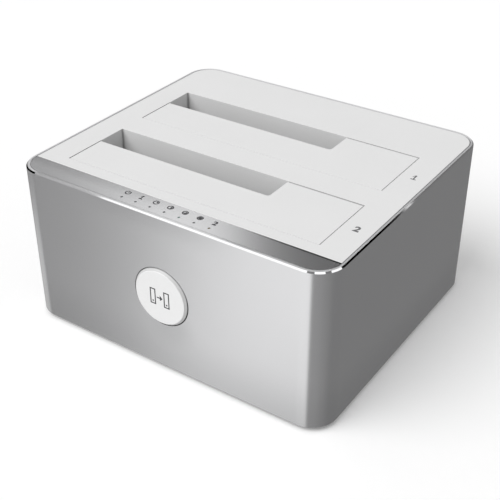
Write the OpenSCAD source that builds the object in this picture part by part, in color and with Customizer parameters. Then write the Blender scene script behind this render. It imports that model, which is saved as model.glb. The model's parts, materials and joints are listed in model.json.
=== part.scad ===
/* [Drives] */
// Width of a large drive
drive_w = 101.6; // [98:0.1:106]
// Thickness of a large drive
drive_t = 26.1; // [20:0.1:30]
// Play on each side of a large drive
drive_side_play = 1.1; // [0.6:0.1:2]
// Play between a large drive and the folded flap
drive_face_play = 0.6; // [0.3:0.1:2]
// Width of a small drive
small_drive_w = 69.85; // [60:0.05:75]
// Thickness of a small drive
small_drive_t = 9.5; // [7:0.5:12.5]
// Play on each side of a small drive
small_side_play = 2.2; // [1:0.1:3]
// Play across the thickness of a small drive
small_face_play = 3; // [1:0.1:4]
// How deep a drive stands below the top face
drive_depth = 47.9; // [44:0.1:60]

/* [Sleeve] */
// Thickness of the metal sleeve's wall
sleeve_wall = 2.4; // [2:0.1:3]
// Radius of the sleeve's upright corners
sleeve_r = 9.8; // [7:0.1:11]
// Polished bevel round the sleeve's top edge
top_bevel = 0.5; // [0.3:0.1:1]
// Small break on the sleeve's bottom edge
bottom_bevel = 0.3; // [0.1:0.1:0.8]
// Width of the ledge in the wall that the top and bottom plates sit on
ledge = 1; // [0.5:0.1:1.2]
// Seam between the sleeve and the plates that sit in it
seam = 0.1; // [0.05:0.05:0.3]
// Room between a drive well and the sleeve, at each side
side_room = 8.1; // [7.5:0.1:12]
// Distance from the sleeve's front face to the first drive opening
front_margin = 15; // [14:0.1:20]
// Width of the bridge between the two drive openings
bridge = 11.8; // [9:0.1:20]
// Distance from the last drive opening to the sleeve's back face
rear_margin = 27.5; // [25:0.1:40]

/* [Top cover] */
// Thickness of the top cover, the strip and the flaps
cover_t = 2; // [1.6:0.1:2.6]
// Distance from the sleeve's front face to the seam behind the indicator strip
strip_d = 9.95; // [9:0.05:11]
// Depth of the tongue of the cover that carries the strip's rear edge
tongue_d = 2.4; // [1.5:0.1:2.6]
// Thickness of that tongue
tongue_t = 1.4; // [1:0.1:2]
// Room between the skirts or wells and the sweep of the flaps' stop tabs
sweep_room = 0.4; // [0.2:0.1:2]
// Thickness of the skirts and of the wells' walls
well_wall = 1.6; // [1.2:0.1:2]
// Clearance between a skirt and the well below it
skirt_gap = 0.3; // [0.2:0.1:1]
// Clearance round the posts that the base screws hold
post_gap = 1; // [0.8:0.1:1.5]

/* [Flaps] */
// Gap beside a flap
flap_side_gap = 0.3; // [0.2:0.05:0.6]
// Gap behind a flap, which the swinging edge bulges into
flap_rear_gap = 0.75; // [0.45:0.05:0.8]
// Gap in front of a flap, at its hinge
hinge_gap = 0.2; // [0.15:0.05:0.5]
// Radius in the inner corner of a flap's notch
notch_r = 1.2; // [0.5:0.1:3]
// Height of the ribs under a flap
rib_h = 1.2; // [0.6:0.1:1.4]
// Thickness of those ribs
rib_w = 1.2; // [0.8:0.1:2]
// How far a stop tab reaches under the cover
stop_reach = 1; // [0.6:0.1:1.3]
// Thickness of a stop tab
stop_t = 1.2; // [0.8:0.1:1.5]
// Length of a stop tab
stop_l = 3.5; // [2:0.1:5]
// Width of a stop tab's root under the flap
stop_root = 1.5; // [1:0.1:2]
// Distance from the flap's front edge to a stop tab
stop_y = 2; // [1.8:0.1:3]
// Distance between the ribs under a flap
rib_pitch = 15; // [10:0.5:20]
// Gap between a stop tab and the cover
stop_gap = 0.3; // [0.2:0.05:0.5]

/* [Hinges] */
// Radius of a hinge pin
pin_r = 0.8; // [0.6:0.05:0.9]
// Radial running clearance of a flap on its pin
pin_play = 0.05; // [0.02:0.01:0.1]
// Radial clearance of a pin in the cover's lugs
lug_play = 0.02; // [0.01:0.01:0.04]
// Wall of a flap's knuckle round the pin
knuckle_wall = 0.55; // [0.45:0.05:0.6]
// Clearance between a knuckle and the cover above it
knuckle_gap = 0.4; // [0.3:0.05:0.8]
// Distance from the flap's front edge forward to the pin
pin_back = 1.6; // [1.5:0.05:2]
// Width of a knuckle
knuckle_w = 5; // [3:0.5:8]
// Width of a cover lug
lug_w = 3; // [2:0.5:5]
// Wall of a lug round the pin
lug_wall = 1; // [0.7:0.05:1.1]
// Gap between a lug and a knuckle or the flap
lug_gap = 0.5; // [0.3:0.1:1]
// Length of a knuckle's web along the flap
web_l = 3.9; // [2:0.1:5]
// Room between the well's front wall and a flap's front edge, where a flap folds
fold_room = 1.8; // [1.6:0.1:2.5]

/* [Flap springs] */
// Thickness of the spring wire
wire_d = 0.5; // [0.4:0.05:0.55]
// Clearance between the coil and the pin
coil_play = 0.3; // [0.2:0.05:0.35]
// Number of turns
coil_turns = 5; // [3:1:8]
// Gap between neighbouring turns
coil_gap = 0.5; // [0.45:0.05:0.8]
// Length of each leg
leg_l = 6; // [3:0.5:7]

/* [Indicators] */
// Number of lights
light_count = 7; // [3:1:9]
// Distance between lights
light_pitch = 6; // [5:0.1:7]
// Distance from the sleeve's front face to the row of lights
light_d = 3.95; // [3.8:0.05:5]
// Radius of a light's hole
light_r = 0.45; // [0.3:0.05:0.6]
// Clearance of a light guide's tip in its hole
guide_play = 0.05; // [0.02:0.01:0.1]
// Depth of a light guide's tip below the strip's face
guide_sink = 0.15; // [0.05:0.05:0.5]
// Width of the light guide's bar
guide_w = 2.2; // [1.6:0.1:2.4]
// Height of that bar
guide_h = 2.4; // [1.5:0.1:3]
// Height of the bosses that carry the indicator board
boss_h = 4; // [3.6:0.1:6]
// Radius of those bosses
boss_r = 1.6; // [1.4:0.1:1.8]
// Thickness of the small circuit boards
small_board_t = 1; // [0.8:0.1:1.6]
// Size of a light emitter, along, across and up
emitter = [1.6, 0.8, 0.7]; // [0.5:0.1:2]

/* [Button] */
// Radius of the button
button_r = 11.2; // [9:0.1:12]
// Gap round the button
button_gap = 0.25; // [0.15:0.05:0.4]
// How far the button stands proud of the sleeve
button_rise = 1; // [0.9:0.1:2]
// Rounding of the button's edge
button_edge = 0.3; // [0.2:0.1:0.6]
// How far the button's side leans in between the sleeve and the button's face
button_draft = 0.8; // [0.2:0.1:1]
// Distance from the top face down to the button's centre
button_drop = 31.3; // [29:0.1:33]
// Travel of the button
button_travel = 0.8; // [0.3:0.1:0.9]
// Thickness of the button's face
button_t = 1.8; // [1.2:0.1:2.4]
// Thickness of the button's skirt
button_wall = 1.6; // [1.2:0.1:2]
// How far the button's flange reaches behind the sleeve
flange_w = 1.1; // [0.8:0.1:1.5]
// Thickness of that flange
flange_t = 1; // [0.8:0.1:1.2]
// Gap between the flange and the sleeve
flange_gap = 0.25; // [0.1:0.05:0.4]
// Radius of the button's stem
stem_r = 2.2; // [1.9:0.1:3]
// Play of the flange in its guide
guide_gap = 0.2; // [0.1:0.05:0.4]
// Wall of the button guide
guide_wall = 1.4; // [1:0.1:2]
// Wall of a guide ear round its screw's head
ear_wall = 0.6; // [0.4:0.1:1]
// How deep the guide screws go into the front well's wall
guide_bite = 1.2; // [0.8:0.1:1.4]
// Radius of the switch plunger
plunger_r = 1.75; // [1.2:0.05:1.8]
// Play of the plunger in the switch
plunger_play = 0.1; // [0.05:0.01:0.2]
// Length of plunger outside the switch
plunger_out = 1.3; // [1.1:0.1:1.6]
// Length of plunger inside the switch
plunger_in = 1.3; // [1:0.1:1.5]
// Side of the square switch
switch_w = 6; // [5:0.1:7]
// Height of the switch
switch_h = 3.2; // [2.8:0.1:3.5]
// Side of the square switch board
switch_board_w = 15; // [10:0.5:15.5]

/* [Base and boards] */
// Height of the rubber feet below the sleeve
foot_h = 1.5; // [1:0.1:4]
// Radius of a foot
foot_r = 5; // [3:0.1:6]
// Depth of the recess that holds a foot
foot_sink = 0.6; // [0.3:0.1:1]
// Rounding of a foot's lower edge
foot_edge = 0.5; // [0.2:0.1:0.8]
// Thickness of the base cover
base_t = 2; // [1.6:0.1:3]
// Height of the rim that lies inside the sleeve
rim_h = 1.8; // [1:0.1:1.9]
// Thickness of that rim
rim_w = 1.6; // [1:0.1:2]
// Height of the standoffs under the main board
standoff_h = 3.5; // [3.4:0.1:8]
// Radius of those standoffs
standoff_r = 3; // [2.5:0.1:3.5]
// Thickness of the main board
board_t = 1.6; // [1.2:0.1:2]
// Room between the main board and the floor of a well
floor_gap = 4.4; // [4:0.1:8]
// Thickness of a well's floor
floor_t = 2; // [1.5:0.1:3]
// Number of vent slots in the base
vent_count = 9; // [3:1:11]
// Distance between vent slots
vent_pitch = 6; // [5:0.1:8]
// Width of a vent slot
vent_w = 2.4; // [1:0.1:3]
// Length of a vent slot
vent_l = 44; // [10:1:46]
// Size of the ribbon headers, along, across and up
header = [10, 3.6, 3]; // [2:0.1:12]
// Width of a ribbon
ribbon_w = 8; // [5:0.5:9]
// Thickness of a ribbon
ribbon_t = 0.6; // [0.3:0.1:1]
// Clearance beside a ribbon
ribbon_gap = 1; // [0.5:0.1:2]
// Room kept between neighbouring parts on the main board and the base
part_gap = 1.5; // [1:0.1:2]
// Radius of a capacitor
capacitor_r = 3.2; // [2:0.1:4]
// Height of a capacitor
capacitor_h = 11; // [6:0.5:16]

/* [Drive sockets] */
// Length of a drive socket
socket_l = 42; // [40:0.5:46]
// Width of a drive socket
socket_w = 6; // [5:0.1:8]
// Height of a drive socket
socket_h = 8.6; // [8:0.1:12]
// Distance from the well's left wall to the socket
socket_side = 6; // [4:0.1:10]
// Distance from the well's rear wall to the socket
socket_back = 2; // [1:0.1:4]
// Distance between contacts
contact_pitch = 1.27; // [1.1:0.01:1.3]
// Width of a contact
contact_w = 0.5; // [0.3:0.05:0.7]
// Thickness of a contact
contact_t = 0.4; // [0.2:0.05:0.6]
// Width of the slots for a drive's tongues
tongue_slot_w = 2.6; // [2:0.1:3]
// Depth of those slots
tongue_slot_h = 6; // [4:0.1:7]
// Depth of the contacts below the socket's face
contact_sink = 0.6; // [0.2:0.1:1.5]
// Clearance round a socket in the well's floor
socket_gap = 0.3; // [0.2:0.05:0.6]

/* [Rear ports] */
// Width of the rear port panel
panel_w = 62; // [58:0.5:80]
// Height of the rear port panel
panel_h = 21.5; // [21:0.1:26]
// Radius of the panel's corners
panel_r = 2; // [1:0.1:4]
// How far the panel's flange reaches behind the sleeve
panel_lip = 1.5; // [1:0.1:1.6]
// Thickness of that flange
panel_lip_t = 1.2; // [1:0.1:2]
// Clearance round each port in the panel
port_gap = 0.15; // [0.1:0.05:0.4]
// Place of the data socket from the middle, to the right seen from the front
usb_x = 0; // [-2:0.1:2]
// Distance from each end of the panel to the middle of the outer ports
port_inset = 11; // [9.5:0.1:14]
// Size of the data socket, across, along and up
usb_size = [12, 17.5, 12.9]; // [10:0.1:20]
// Wall of the data socket's shell
usb_wall = 0.8; // [0.5:0.1:1]
// Depth of the data socket's mouth
usb_mouth = 9.5; // [8:0.1:12]
// Size of the lower, wider half of the mouth, across and up
usb_low = [8.5, 7.4]; // [6:0.1:9]
// Size of the upper, narrower half of the mouth, across and up
usb_high = [6.2, 3.4]; // [3:0.1:8]
// Size of the tongue in the lower half, across and up
usb_low_tongue = [5.6, 3.2]; // [2:0.1:6]
// Size of the tongue in the upper half, across and up
usb_high_tongue = [4.8, 1]; // [0.5:0.1:6]
// Depth of the tongues below the data socket's face
usb_tongue_sink = 1; // [0.5:0.1:2]
// How far the ports sit below the panel's face
port_sink = 0.2; // [0:0.05:0.5]
// Size of the power inlet, across, along and up
inlet_size = [9, 14, 11]; // [8:0.1:16]
// Radius of the power inlet's hole
inlet_r = 3.15; // [2.8:0.05:3.6]
// Radius of the power inlet's centre pin
inlet_pin_r = 1.05; // [0.8:0.05:1.3]
// Depth of the power inlet's hole
inlet_depth = 9.5; // [8:0.1:12]
// Depth of the centre pin below the inlet's face
inlet_pin_sink = 1; // [0.5:0.1:3]
// Height of the rocker
rocker_h = 13.8; // [11:0.1:14]
// Width of the rocker
rocker_w = 9; // [7:0.1:10]
// Slope of each face of the rocker, which is also its tilt each way
rocker_tilt = 11; // [6:0.5:12]
// Depth of the rocker's middle below the flange's face when it is level
rocker_dip = 1.4; // [1:0.1:2]
// Depth of the rocker's flat ends
rocker_side = 2.6; // [2:0.1:3.5]
// Depth of the rocker's body behind its pivot
rocker_back = 3; // [2:0.1:4]
// Height of the rocker's back
rocker_heel = 3.4; // [2:0.1:5]
// Clearance round the rocker
rocker_gap = 0.3; // [0.2:0.05:0.5]
// Wall of the rocker's housing
rocker_wall = 0.9; // [0.7:0.05:1.2]
// Width of the housing's flange on the panel
rocker_lip = 0.9; // [0.5:0.1:1.2]
// Thickness of that flange
rocker_lip_t = 0.8; // [0.5:0.1:1.2]
// Depth of the rocker's housing behind the panel's face
rocker_depth = 13; // [11:0.1:15]
// Depth of the rocker's pivot below the flange's face
pivot_depth = 4; // [3:0.1:5]
// Radius of the rocker's pivots
pivot_r = 0.9; // [0.6:0.05:1.2]
// Running clearance of the pivots
pivot_play = 0.05; // [0.02:0.01:0.1]

/* [Screws] */
// Radius of the larger screws' shanks
screw_r = 1.45; // [1.2:0.05:1.5]
// Radius of the larger screws' heads
screw_head_r = 2.6; // [2.2:0.05:2.8]
// Height of the larger screws' heads
screw_head_h = 1.6; // [1.2:0.1:2]
// Length of the base screws
base_screw_l = 12; // [8:0.5:20]
// Length of the board screws
board_screw_l = 4.8; // [3.5:0.1:5]
// Length of the well screws
well_screw_l = 8; // [5:0.5:9]
// Radius of the smaller screws' shanks
small_screw_r = 0.9; // [0.7:0.05:1]
// Radius of the smaller screws' heads
small_head_r = 1.6; // [1.4:0.05:1.8]
// Height of the smaller screws' heads
small_head_h = 1; // [0.6:0.1:1.2]
// Length of the smaller screws
small_screw_l = 3; // [2.4:0.1:3.2]
// Radial clearance of a screw in its hole
screw_play = 0.1; // [0.05:0.05:0.2]
// Depth of the base screws' heads below the base
screw_sink = 0.5; // [0.2:0.1:1]
// How far a screw head narrows for each mm of its height
head_taper = 0.25; // [0:0.05:0.4]
// Width of a screw's cross recess
cross_w = 0.6; // [0.4:0.1:0.8]
// Depth of that recess
cross_h = 0.6; // [0.3:0.1:0.8]
// Reach of that recess, as a share of the head's radius
cross_reach = 0.6; // [0.4:0.05:0.7]

/* [Hidden] */
$fn = 64;

// Overshoot of a cutting shape past the face that it opens
cut = 1;

// Heights, from the surface that the feet stand on
z_base = foot_h;
z_base_top = z_base + base_t;
z_board = z_base_top + standoff_h;
z_board_top = z_board + board_t;
z_floor = z_board_top + floor_gap;
z_seat = z_floor + floor_t;
z_top = z_seat + drive_depth;
z_cover = z_top - cover_t;
sleeve_h = z_top - z_base;

// Hinge: the knuckle lies under the cover, in front of the flap
knuckle_r = pin_r + pin_play + knuckle_wall;
pin_drop = cover_t + knuckle_gap + knuckle_r;
z_pin = z_top - pin_drop;
lug_r = pin_r + lug_play + lug_wall;
// How far behind its front edge a flap that hangs straight down has its face
folded_face = pin_drop - pin_back;
// How far from the pin the stop tabs sweep, and the skirts and wells that keep clear of them
stop_sweep = norm([pin_back + stop_y + stop_l, pin_drop - cover_t - stop_gap]);
skirt_h = pin_drop - cover_t + stop_sweep + sweep_room - skirt_gap;
z_well_top = z_cover - skirt_h - skirt_gap;

// Drive openings
slot_w = drive_w + 2 * drive_side_play;
slot_d = hinge_gap + folded_face + drive_t + drive_face_play;
notch_w = small_drive_w + 2 * small_side_play - flap_side_gap;
notch_d = small_drive_t + small_face_play - flap_rear_gap;
flap_w = slot_w - 2 * flap_side_gap;
flap_d = slot_d - hinge_gap - flap_rear_gap;

// Sleeve, from what stands inside it
well_w = slot_w + 2 * well_wall;
sleeve_w = well_w + 2 * (side_room + sleeve_wall);
sleeve_d = front_margin + 2 * slot_d + bridge + rear_margin;
y_front = -sleeve_d / 2;
y_back = sleeve_d / 2;
room_w = sleeve_w - 2 * sleeve_wall;
room_d = sleeve_d - 2 * sleeve_wall;
room_r = sleeve_r - sleeve_wall;
seat_w = room_w + 2 * ledge;
seat_d = room_d + 2 * ledge;
seat_r = room_r + ledge;
plate_w = seat_w - 2 * seam;
plate_d = seat_d - 2 * seam;
plate_r = seat_r - seam;
y_strip = y_front + strip_d;
y_lights = y_front + light_d;

// Posts beside the wells, with the base screws in them
post_r = (side_room - 2 * post_gap) / 2;
post_x = well_w / 2 + side_room / 2;
post_y = min(-y_strip, y_back - sleeve_r) - post_r - seam;

// Front edges of the openings, the flaps and the wells: 0 is the front bay, 1 the rear bay
function slot_y(bay) = y_front + front_margin + bay * (slot_d + bridge);
function flap_y(bay) = slot_y(bay) + hinge_gap;
function pin_y(bay) = flap_y(bay) - pin_back;
function well_y(bay) = flap_y(bay) - fold_room;
function bay_rear_y(bay) = slot_y(bay) + slot_d;
function bay_mid_y(bay) = slot_y(bay) + slot_d / 2;

// Places along a hinge pin
lug_x = flap_w / 2 - lug_w;
knuckle_x = lug_x - (lug_w + knuckle_w) / 2 - lug_gap;
pin_l = 2 * lug_x + lug_w;
coil_r = pin_r + coil_play + wire_d / 2;
coil_pitch = wire_d + coil_gap;
coil_l = coil_turns * coil_pitch;
coil_x = lug_w / 2 + lug_gap + wire_d;
coil_steps = 8;
leg_steps = 4;
wire_sides = 6;

// Button and its switch, from the sleeve's front face back to the front well
z_button = z_top - button_drop;
y_room = y_front + sleeve_wall;
y_well_face = well_y(0) - well_wall;
y_switch_board = y_well_face - small_board_t;
y_switch = y_switch_board - switch_h;
y_stem = y_switch - plunger_out;
flange_r = button_r + flange_w;
guide_in_r = flange_r + guide_gap;
guide_out_r = guide_in_r + guide_wall;
ear_r = small_head_r + screw_play + ear_wall;
ear_x = guide_out_r + ear_r;
ear_t = small_screw_l - guide_bite;

// Indicator board and ribbons
light_span = (light_count - 1) * light_pitch;
z_small_board = z_cover - boss_h - small_board_t;
z_guide = z_cover - guide_h;
boss_x = light_span / 2 + light_pitch;
boss_y = y_strip - tongue_d - boss_r - seam;
small_board_front = y_room + seam;
ribbon_x = ear_x + ear_r + ribbon_w / 2 + ribbon_gap;
ribbon_y = y_well_face - header[1] / 2;
small_board_w = 2 * (ribbon_x + ribbon_w / 2 + ribbon_gap);
small_board_back = ribbon_y + ribbon_t;
switch_ribbon_y = y_switch_board - ribbon_t / 2;

// Main board and base
board_w = well_w - 2 * part_gap;
board_front = y_room + 2 * part_gap;
board_back = y_back - sleeve_wall - panel_lip_t - 2 * seam;
board_hole_x = board_w / 2 - standoff_r - part_gap;
board_hole_y = [board_front + standoff_r + part_gap, board_back - standoff_r - part_gap];
well_boss_x = post_x;
well_boss_r = post_r;
foot_x = post_x - post_r - foot_r - part_gap;
foot_y = post_y;
base_boss_r = side_room / 2 - 2 * seam;
z_head = z_base + screw_sink + screw_head_h;

// Drive sockets and their contacts: signal contacts first, then power contacts
contact_counts = [7, 15];
socket_x = -slot_w / 2 + socket_side;
function socket_y(bay) = bay_rear_y(bay) - socket_back - socket_w;
function tongue_l(i) = (contact_counts[i] + 1) * contact_pitch;
socket_web = 2 * contact_pitch;
socket_end = (socket_l - tongue_l(0) - tongue_l(1) - socket_web) / 2;
function tongue_x(i) = socket_x + socket_end + i * (tongue_l(0) + socket_web);

// Rear ports, standing on the main board
panel_z = z_board;
inlet_x = panel_w / 2 - port_inset;
rocker_x = port_inset - panel_w / 2;
y_port = y_back - port_sink;
z_inlet = z_board_top + inlet_size[2] / 2;
rocker_mid = pivot_depth - rocker_dip;
rocker_end = rocker_mid + tan(rocker_tilt) * rocker_h / 2;
rocker_angle = atan2(rocker_h / 2, rocker_end) + rocker_tilt;
rocker_swing = norm([rocker_end, rocker_h / 2]) * sin(min(90, rocker_angle));
cavity_h = 2 * (rocker_swing + rocker_gap);
cavity_w = rocker_w + 2 * rocker_gap;
housing_h = cavity_h + 2 * rocker_wall;
housing_w = cavity_w + 2 * rocker_wall;
z_rocker = z_board_top + housing_h / 2;
y_pivot = y_back + rocker_lip_t - pivot_depth;

// Chips between the two drive sockets: place across and along, then size across, along and up
chips = [[0, 0, 14, 14, 1.2], [24, -4, 9, 9, 1], [-30, -5, 6, 5, 1.4], [30, 8, 6, 5, 1.4]];
chip_y = (socket_y(0) + socket_w + socket_y(1)) / 2;
// Capacitors stand in a row behind the rear well, inward of the board screws
capacitor_pitch = 2 * capacitor_r + part_gap;
capacitor_x = board_hole_x - screw_head_r - part_gap - capacitor_r;
capacitor_y = bay_rear_y(1) + well_wall + 2 * part_gap + capacitor_r;

module rounded_rect(w, d, r) {
    square([w - 2 * r, d], center = true);
    square([w, d - 2 * r], center = true);
    for (x = [-1, 1], y = [-1, 1])
        translate([x * (w / 2 - r), y * (d / 2 - r)])
            circle(r);
}

module rounded_plate(w, d, h, r) {
    linear_extrude(h)
        rounded_rect(w, d, r);
}

// Slab with round corners whose sides lean in at 45 degrees
module leaning_slab(w, d, h, r) {
    rotate([90, 0, 90])
        linear_extrude(w - 2 * r, center = true)
            polygon([[-d / 2, 0], [d / 2, 0], [d / 2 - h, h], [h - d / 2, h]]);
    rotate([90, 0, 0])
        linear_extrude(d - 2 * r, center = true)
            polygon([[-w / 2, 0], [w / 2, 0], [w / 2 - h, h], [h - w / 2, h]]);
    for (x = [-1, 1], y = [-1, 1])
        translate([x * (w / 2 - r), y * (d / 2 - r), 0])
            cylinder(h = h, r1 = r, r2 = r - h);
}

module box(low, high) {
    translate(low)
        cube(high - low);
}

// Outline in depth and height, drawn out sideways about x
module side_profile(x, w) {
    translate([x - w / 2, 0, 0])
        rotate([90, 0, 90])
            linear_extrude(w)
                children();
}

module cross_rod(x, w, r) {
    translate([x - w / 2, 0, 0])
        rotate([0, 90, 0])
            cylinder(h = w, r = r);
}

// Rod that runs backwards from y
module back_rod(l, r) {
    rotate([-90, 0, 0])
        cylinder(h = l, r = r);
}

// Screw with its head's underside at 0 and its shank going down
module screw(r, head_r, head_h, l) {
    difference() {
        union() {
            cylinder(h = head_h, r1 = head_r, r2 = head_r - head_taper * head_h);
            translate([0, 0, -l])
                cylinder(h = l + head_h - cross_h, r = r);
        }
        for (turn = [0, 90])
            rotate([0, 0, turn])
                translate([-head_r * cross_reach, -cross_w / 2, head_h - cross_h])
                    cube([2 * head_r * cross_reach, cross_w, cross_h + cut]);
    }
}

module large_screw(l) {
    screw(screw_r, screw_head_r, screw_head_h, l);
}

module small_screw() {
    screw(small_screw_r, small_head_r, small_head_h, small_screw_l);
}

module at_posts() {
    for (x = [-1, 1], y = [-1, 1])
        translate([x * post_x, y * post_y, 0])
            children();
}

module at_board_holes() {
    for (x = [-1, 1], y = board_hole_y)
        translate([x * board_hole_x, y, 0])
            children();
}

module at_well_tabs(bay) {
    for (x = [-1, 1])
        translate([x * well_boss_x, bay_mid_y(bay), 0])
            children();
}

module at_lights() {
    for (i = [0 : light_count - 1])
        translate([i * light_pitch - light_span / 2, y_lights, 0])
            children();
}

module at_indicator_bosses() {
    for (x = [-1, 1])
        translate([x * boss_x, boss_y, 0])
            children();
}

module at_guide_ears() {
    for (x = [-1, 1])
        translate([x * ear_x, y_well_face, z_button])
            children();
}

module at_feet() {
    for (x = [-1, 1], y = [-1, 1])
        translate([x * foot_x, y * foot_y, 0])
            children();
}

module at_button() {
    translate([0, y_front, z_button])
        children();
}

module aluminium_sleeve() {
    color("silver")
        difference() {
            union() {
                translate([0, 0, z_base + bottom_bevel])
                    rounded_plate(sleeve_w, sleeve_d, sleeve_h - top_bevel - bottom_bevel, sleeve_r);
                translate([0, 0, z_top - top_bevel])
                    leaning_slab(sleeve_w, sleeve_d, top_bevel, sleeve_r);
                translate([0, 0, z_base + bottom_bevel])
                    mirror([0, 0, 1])
                        leaning_slab(sleeve_w, sleeve_d, bottom_bevel, sleeve_r);
            }
            translate([0, 0, z_base - cut])
                rounded_plate(room_w, room_d, sleeve_h + 2 * cut, room_r);
            translate([0, 0, z_cover])
                rounded_plate(seat_w, seat_d, cover_t + cut, seat_r);
            translate([0, 0, z_base - cut])
                rounded_plate(seat_w, seat_d, base_t + cut, seat_r);
            at_button()
                translate([0, -cut, 0])
                    back_rod(sleeve_wall + 2 * cut, button_r + button_gap);
            translate([0, y_back - sleeve_wall - cut, panel_z + panel_h / 2])
                rotate([-90, 0, 0])
                    linear_extrude(sleeve_wall + 2 * cut)
                        rounded_rect(panel_w + 2 * seam, panel_h + 2 * seam, panel_r + seam);
        }
}

module cover_outline() {
    difference() {
        rounded_rect(plate_w, plate_d, plate_r);
        translate([-plate_w, y_strip - sleeve_d])
            square([2 * plate_w, sleeve_d]);
        for (bay = [0, 1])
            translate([-slot_w / 2, slot_y(bay)])
                square([slot_w, slot_d]);
    }
}

// Walls that hang below the cover behind and beside an opening, clear of the flap's stop tabs
module skirt(bay) {
    front = pin_y(bay) + stop_sweep + sweep_room;
    rear = bay_rear_y(bay);
    difference() {
        box([-well_w / 2, front, z_cover - skirt_h], [well_w / 2, rear + well_wall, z_cover]);
        box([-slot_w / 2, front - cut, z_cover - skirt_h - cut], [slot_w / 2, rear, z_cover + cut]);
    }
}

// Lugs that hang below the cover and hold a hinge pin
module hinge_lugs(bay) {
    for (x = [-lug_x, 0, lug_x])
        translate([0, pin_y(bay), z_pin])
            difference() {
                side_profile(x, lug_w) {
                    circle(lug_r);
                    translate([-lug_r, 0])
                        square([lug_r + pin_back - hinge_gap - lug_gap, z_cover - z_pin]);
                }
                cross_rod(x, lug_w + 2 * cut, pin_r + lug_play);
            }
}

// Bar under the cover that carries the strip's rear edge, with a notch for the front spring's leg
module front_tongue() {
    rear = min(y_strip + tongue_d, pin_y(0) - knuckle_r - knuckle_gap);
    notch = wire_d / 2 + coil_gap;
    difference() {
        box([-post_x, y_strip - tongue_d, z_cover - tongue_t], [post_x, rear, z_cover]);
        box([coil_x - notch, y_strip - tongue_d - cut, z_cover - tongue_t - cut],
            [coil_x + notch, rear + cut, z_cover + cut]);
    }
}

module top_cover() {
    color("white")
        difference() {
            union() {
                translate([0, 0, z_cover])
                    linear_extrude(cover_t)
                        cover_outline();
                front_tongue();
                for (bay = [0, 1]) {
                    skirt(bay);
                    hinge_lugs(bay);
                }
                at_posts()
                    translate([0, 0, z_board])
                        cylinder(h = z_cover - z_board, r = post_r);
            }
            at_posts()
                translate([0, 0, z_head])
                    cylinder(h = base_screw_l + screw_play, r = screw_r + screw_play / 2);
        }
}

module indicator_strip() {
    color("silver")
        difference() {
            union() {
                translate([0, 0, z_cover])
                    linear_extrude(cover_t)
                        intersection() {
                            rounded_rect(plate_w, plate_d, plate_r);
                            translate([-plate_w, y_strip - seam - sleeve_d])
                                square([2 * plate_w, sleeve_d]);
                        }
                at_indicator_bosses()
                    translate([0, 0, z_cover - boss_h])
                        cylinder(h = boss_h, r = boss_r);
            }
            at_lights()
                translate([0, 0, z_cover - cut])
                    cylinder(h = cover_t + 2 * cut, r = light_r);
            at_indicator_bosses()
                translate([0, 0, z_cover - boss_h - cut])
                    cylinder(h = small_screw_l + cut, r = small_screw_r + screw_play / 2);
        }
}

module light_guide() {
    color("gainsboro") {
        box([-light_span / 2 - guide_w / 2, y_lights - guide_w / 2, z_guide],
            [light_span / 2 + guide_w / 2, y_lights + guide_w / 2, z_cover]);
        at_lights() {
            translate([0, 0, z_cover - guide_h / 2])
                cylinder(h = cover_t + guide_h / 2 - guide_sink, r = light_r - guide_play);
            translate([0, 0, z_small_board + small_board_t + emitter[2]])
                cylinder(h = boss_h - emitter[2] - guide_h / 2, r = emitter[1] / 2);
        }
    }
}

module indicator_board() {
    color("darkgreen")
        difference() {
            box([-small_board_w / 2, small_board_front, z_small_board],
                [small_board_w / 2, small_board_back, z_small_board + small_board_t]);
            at_indicator_bosses()
                translate([0, 0, z_small_board - cut])
                    cylinder(h = small_board_t + 2 * cut, r = small_screw_r + screw_play);
        }
}

module indicator_leds() {
    color("ivory")
        at_lights()
            translate([-emitter[0] / 2, -emitter[1] / 2, z_small_board + small_board_t])
                cube(emitter);
}

module indicator_screws() {
    color("gray")
        at_indicator_bosses()
            translate([0, 0, z_small_board])
                mirror([0, 0, 1])
                    small_screw();
}

module indicator_ribbon() {
    color("lightgray")
        box([ribbon_x - ribbon_w / 2, ribbon_y - ribbon_t / 2, z_board_top + header[2]],
            [ribbon_x + ribbon_w / 2, ribbon_y + ribbon_t / 2, z_small_board]);
}

// Outline of a flap from its front edge, with the small drive's notch at the rear left
module flap_outline() {
    notch_x = notch_w - flap_w / 2;
    notch_y = flap_d - notch_d;
    difference() {
        translate([-flap_w / 2, 0])
            square([flap_w, flap_d]);
        translate([-flap_w / 2 - cut, notch_y])
            square([notch_w + cut - notch_r, notch_d + cut]);
        translate([-flap_w / 2 - cut, notch_y + notch_r])
            square([notch_w + cut, notch_d + cut]);
        translate([notch_x - notch_r, notch_y + notch_r])
            circle(notch_r);
    }
}

// Knuckle with the web that joins it to the flap, about the pin
module knuckle(x) {
    rise = pin_drop - cover_t;
    difference() {
        side_profile(x, knuckle_w) {
            circle(knuckle_r);
            polygon([[0, -knuckle_r], [pin_back + web_l, rise], [pin_back, rise], [0, knuckle_r]]);
        }
        cross_rod(x, knuckle_w + 2 * cut, pin_r + pin_play);
    }
}

// Ribs under the flap, behind the sweep of its own hinge
module flap_ribs() {
    notch_x = notch_w - flap_w / 2;
    notch_y = flap_d - notch_d;
    front = stop_y + stop_l + rib_w;
    side = flap_w / 2 - 2 * rib_w;
    translate([0, 0, -cover_t - rib_h]) {
        translate([-side, notch_y - 2 * rib_w, 0])
            cube([2 * side, rib_w, rib_h]);
        translate([notch_x + rib_w, flap_d - 2 * rib_w, 0])
            cube([side - notch_x - rib_w, rib_w, rib_h]);
        for (x = [-side : rib_pitch : side - rib_w])
            translate([x, front, 0])
                cube([rib_w, notch_y - rib_w - front, rib_h]);
        for (x = [notch_x + rib_w, side - rib_w])
            translate([x, notch_y - 2 * rib_w, 0])
                cube([rib_w, notch_d, rib_h]);
    }
}

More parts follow.
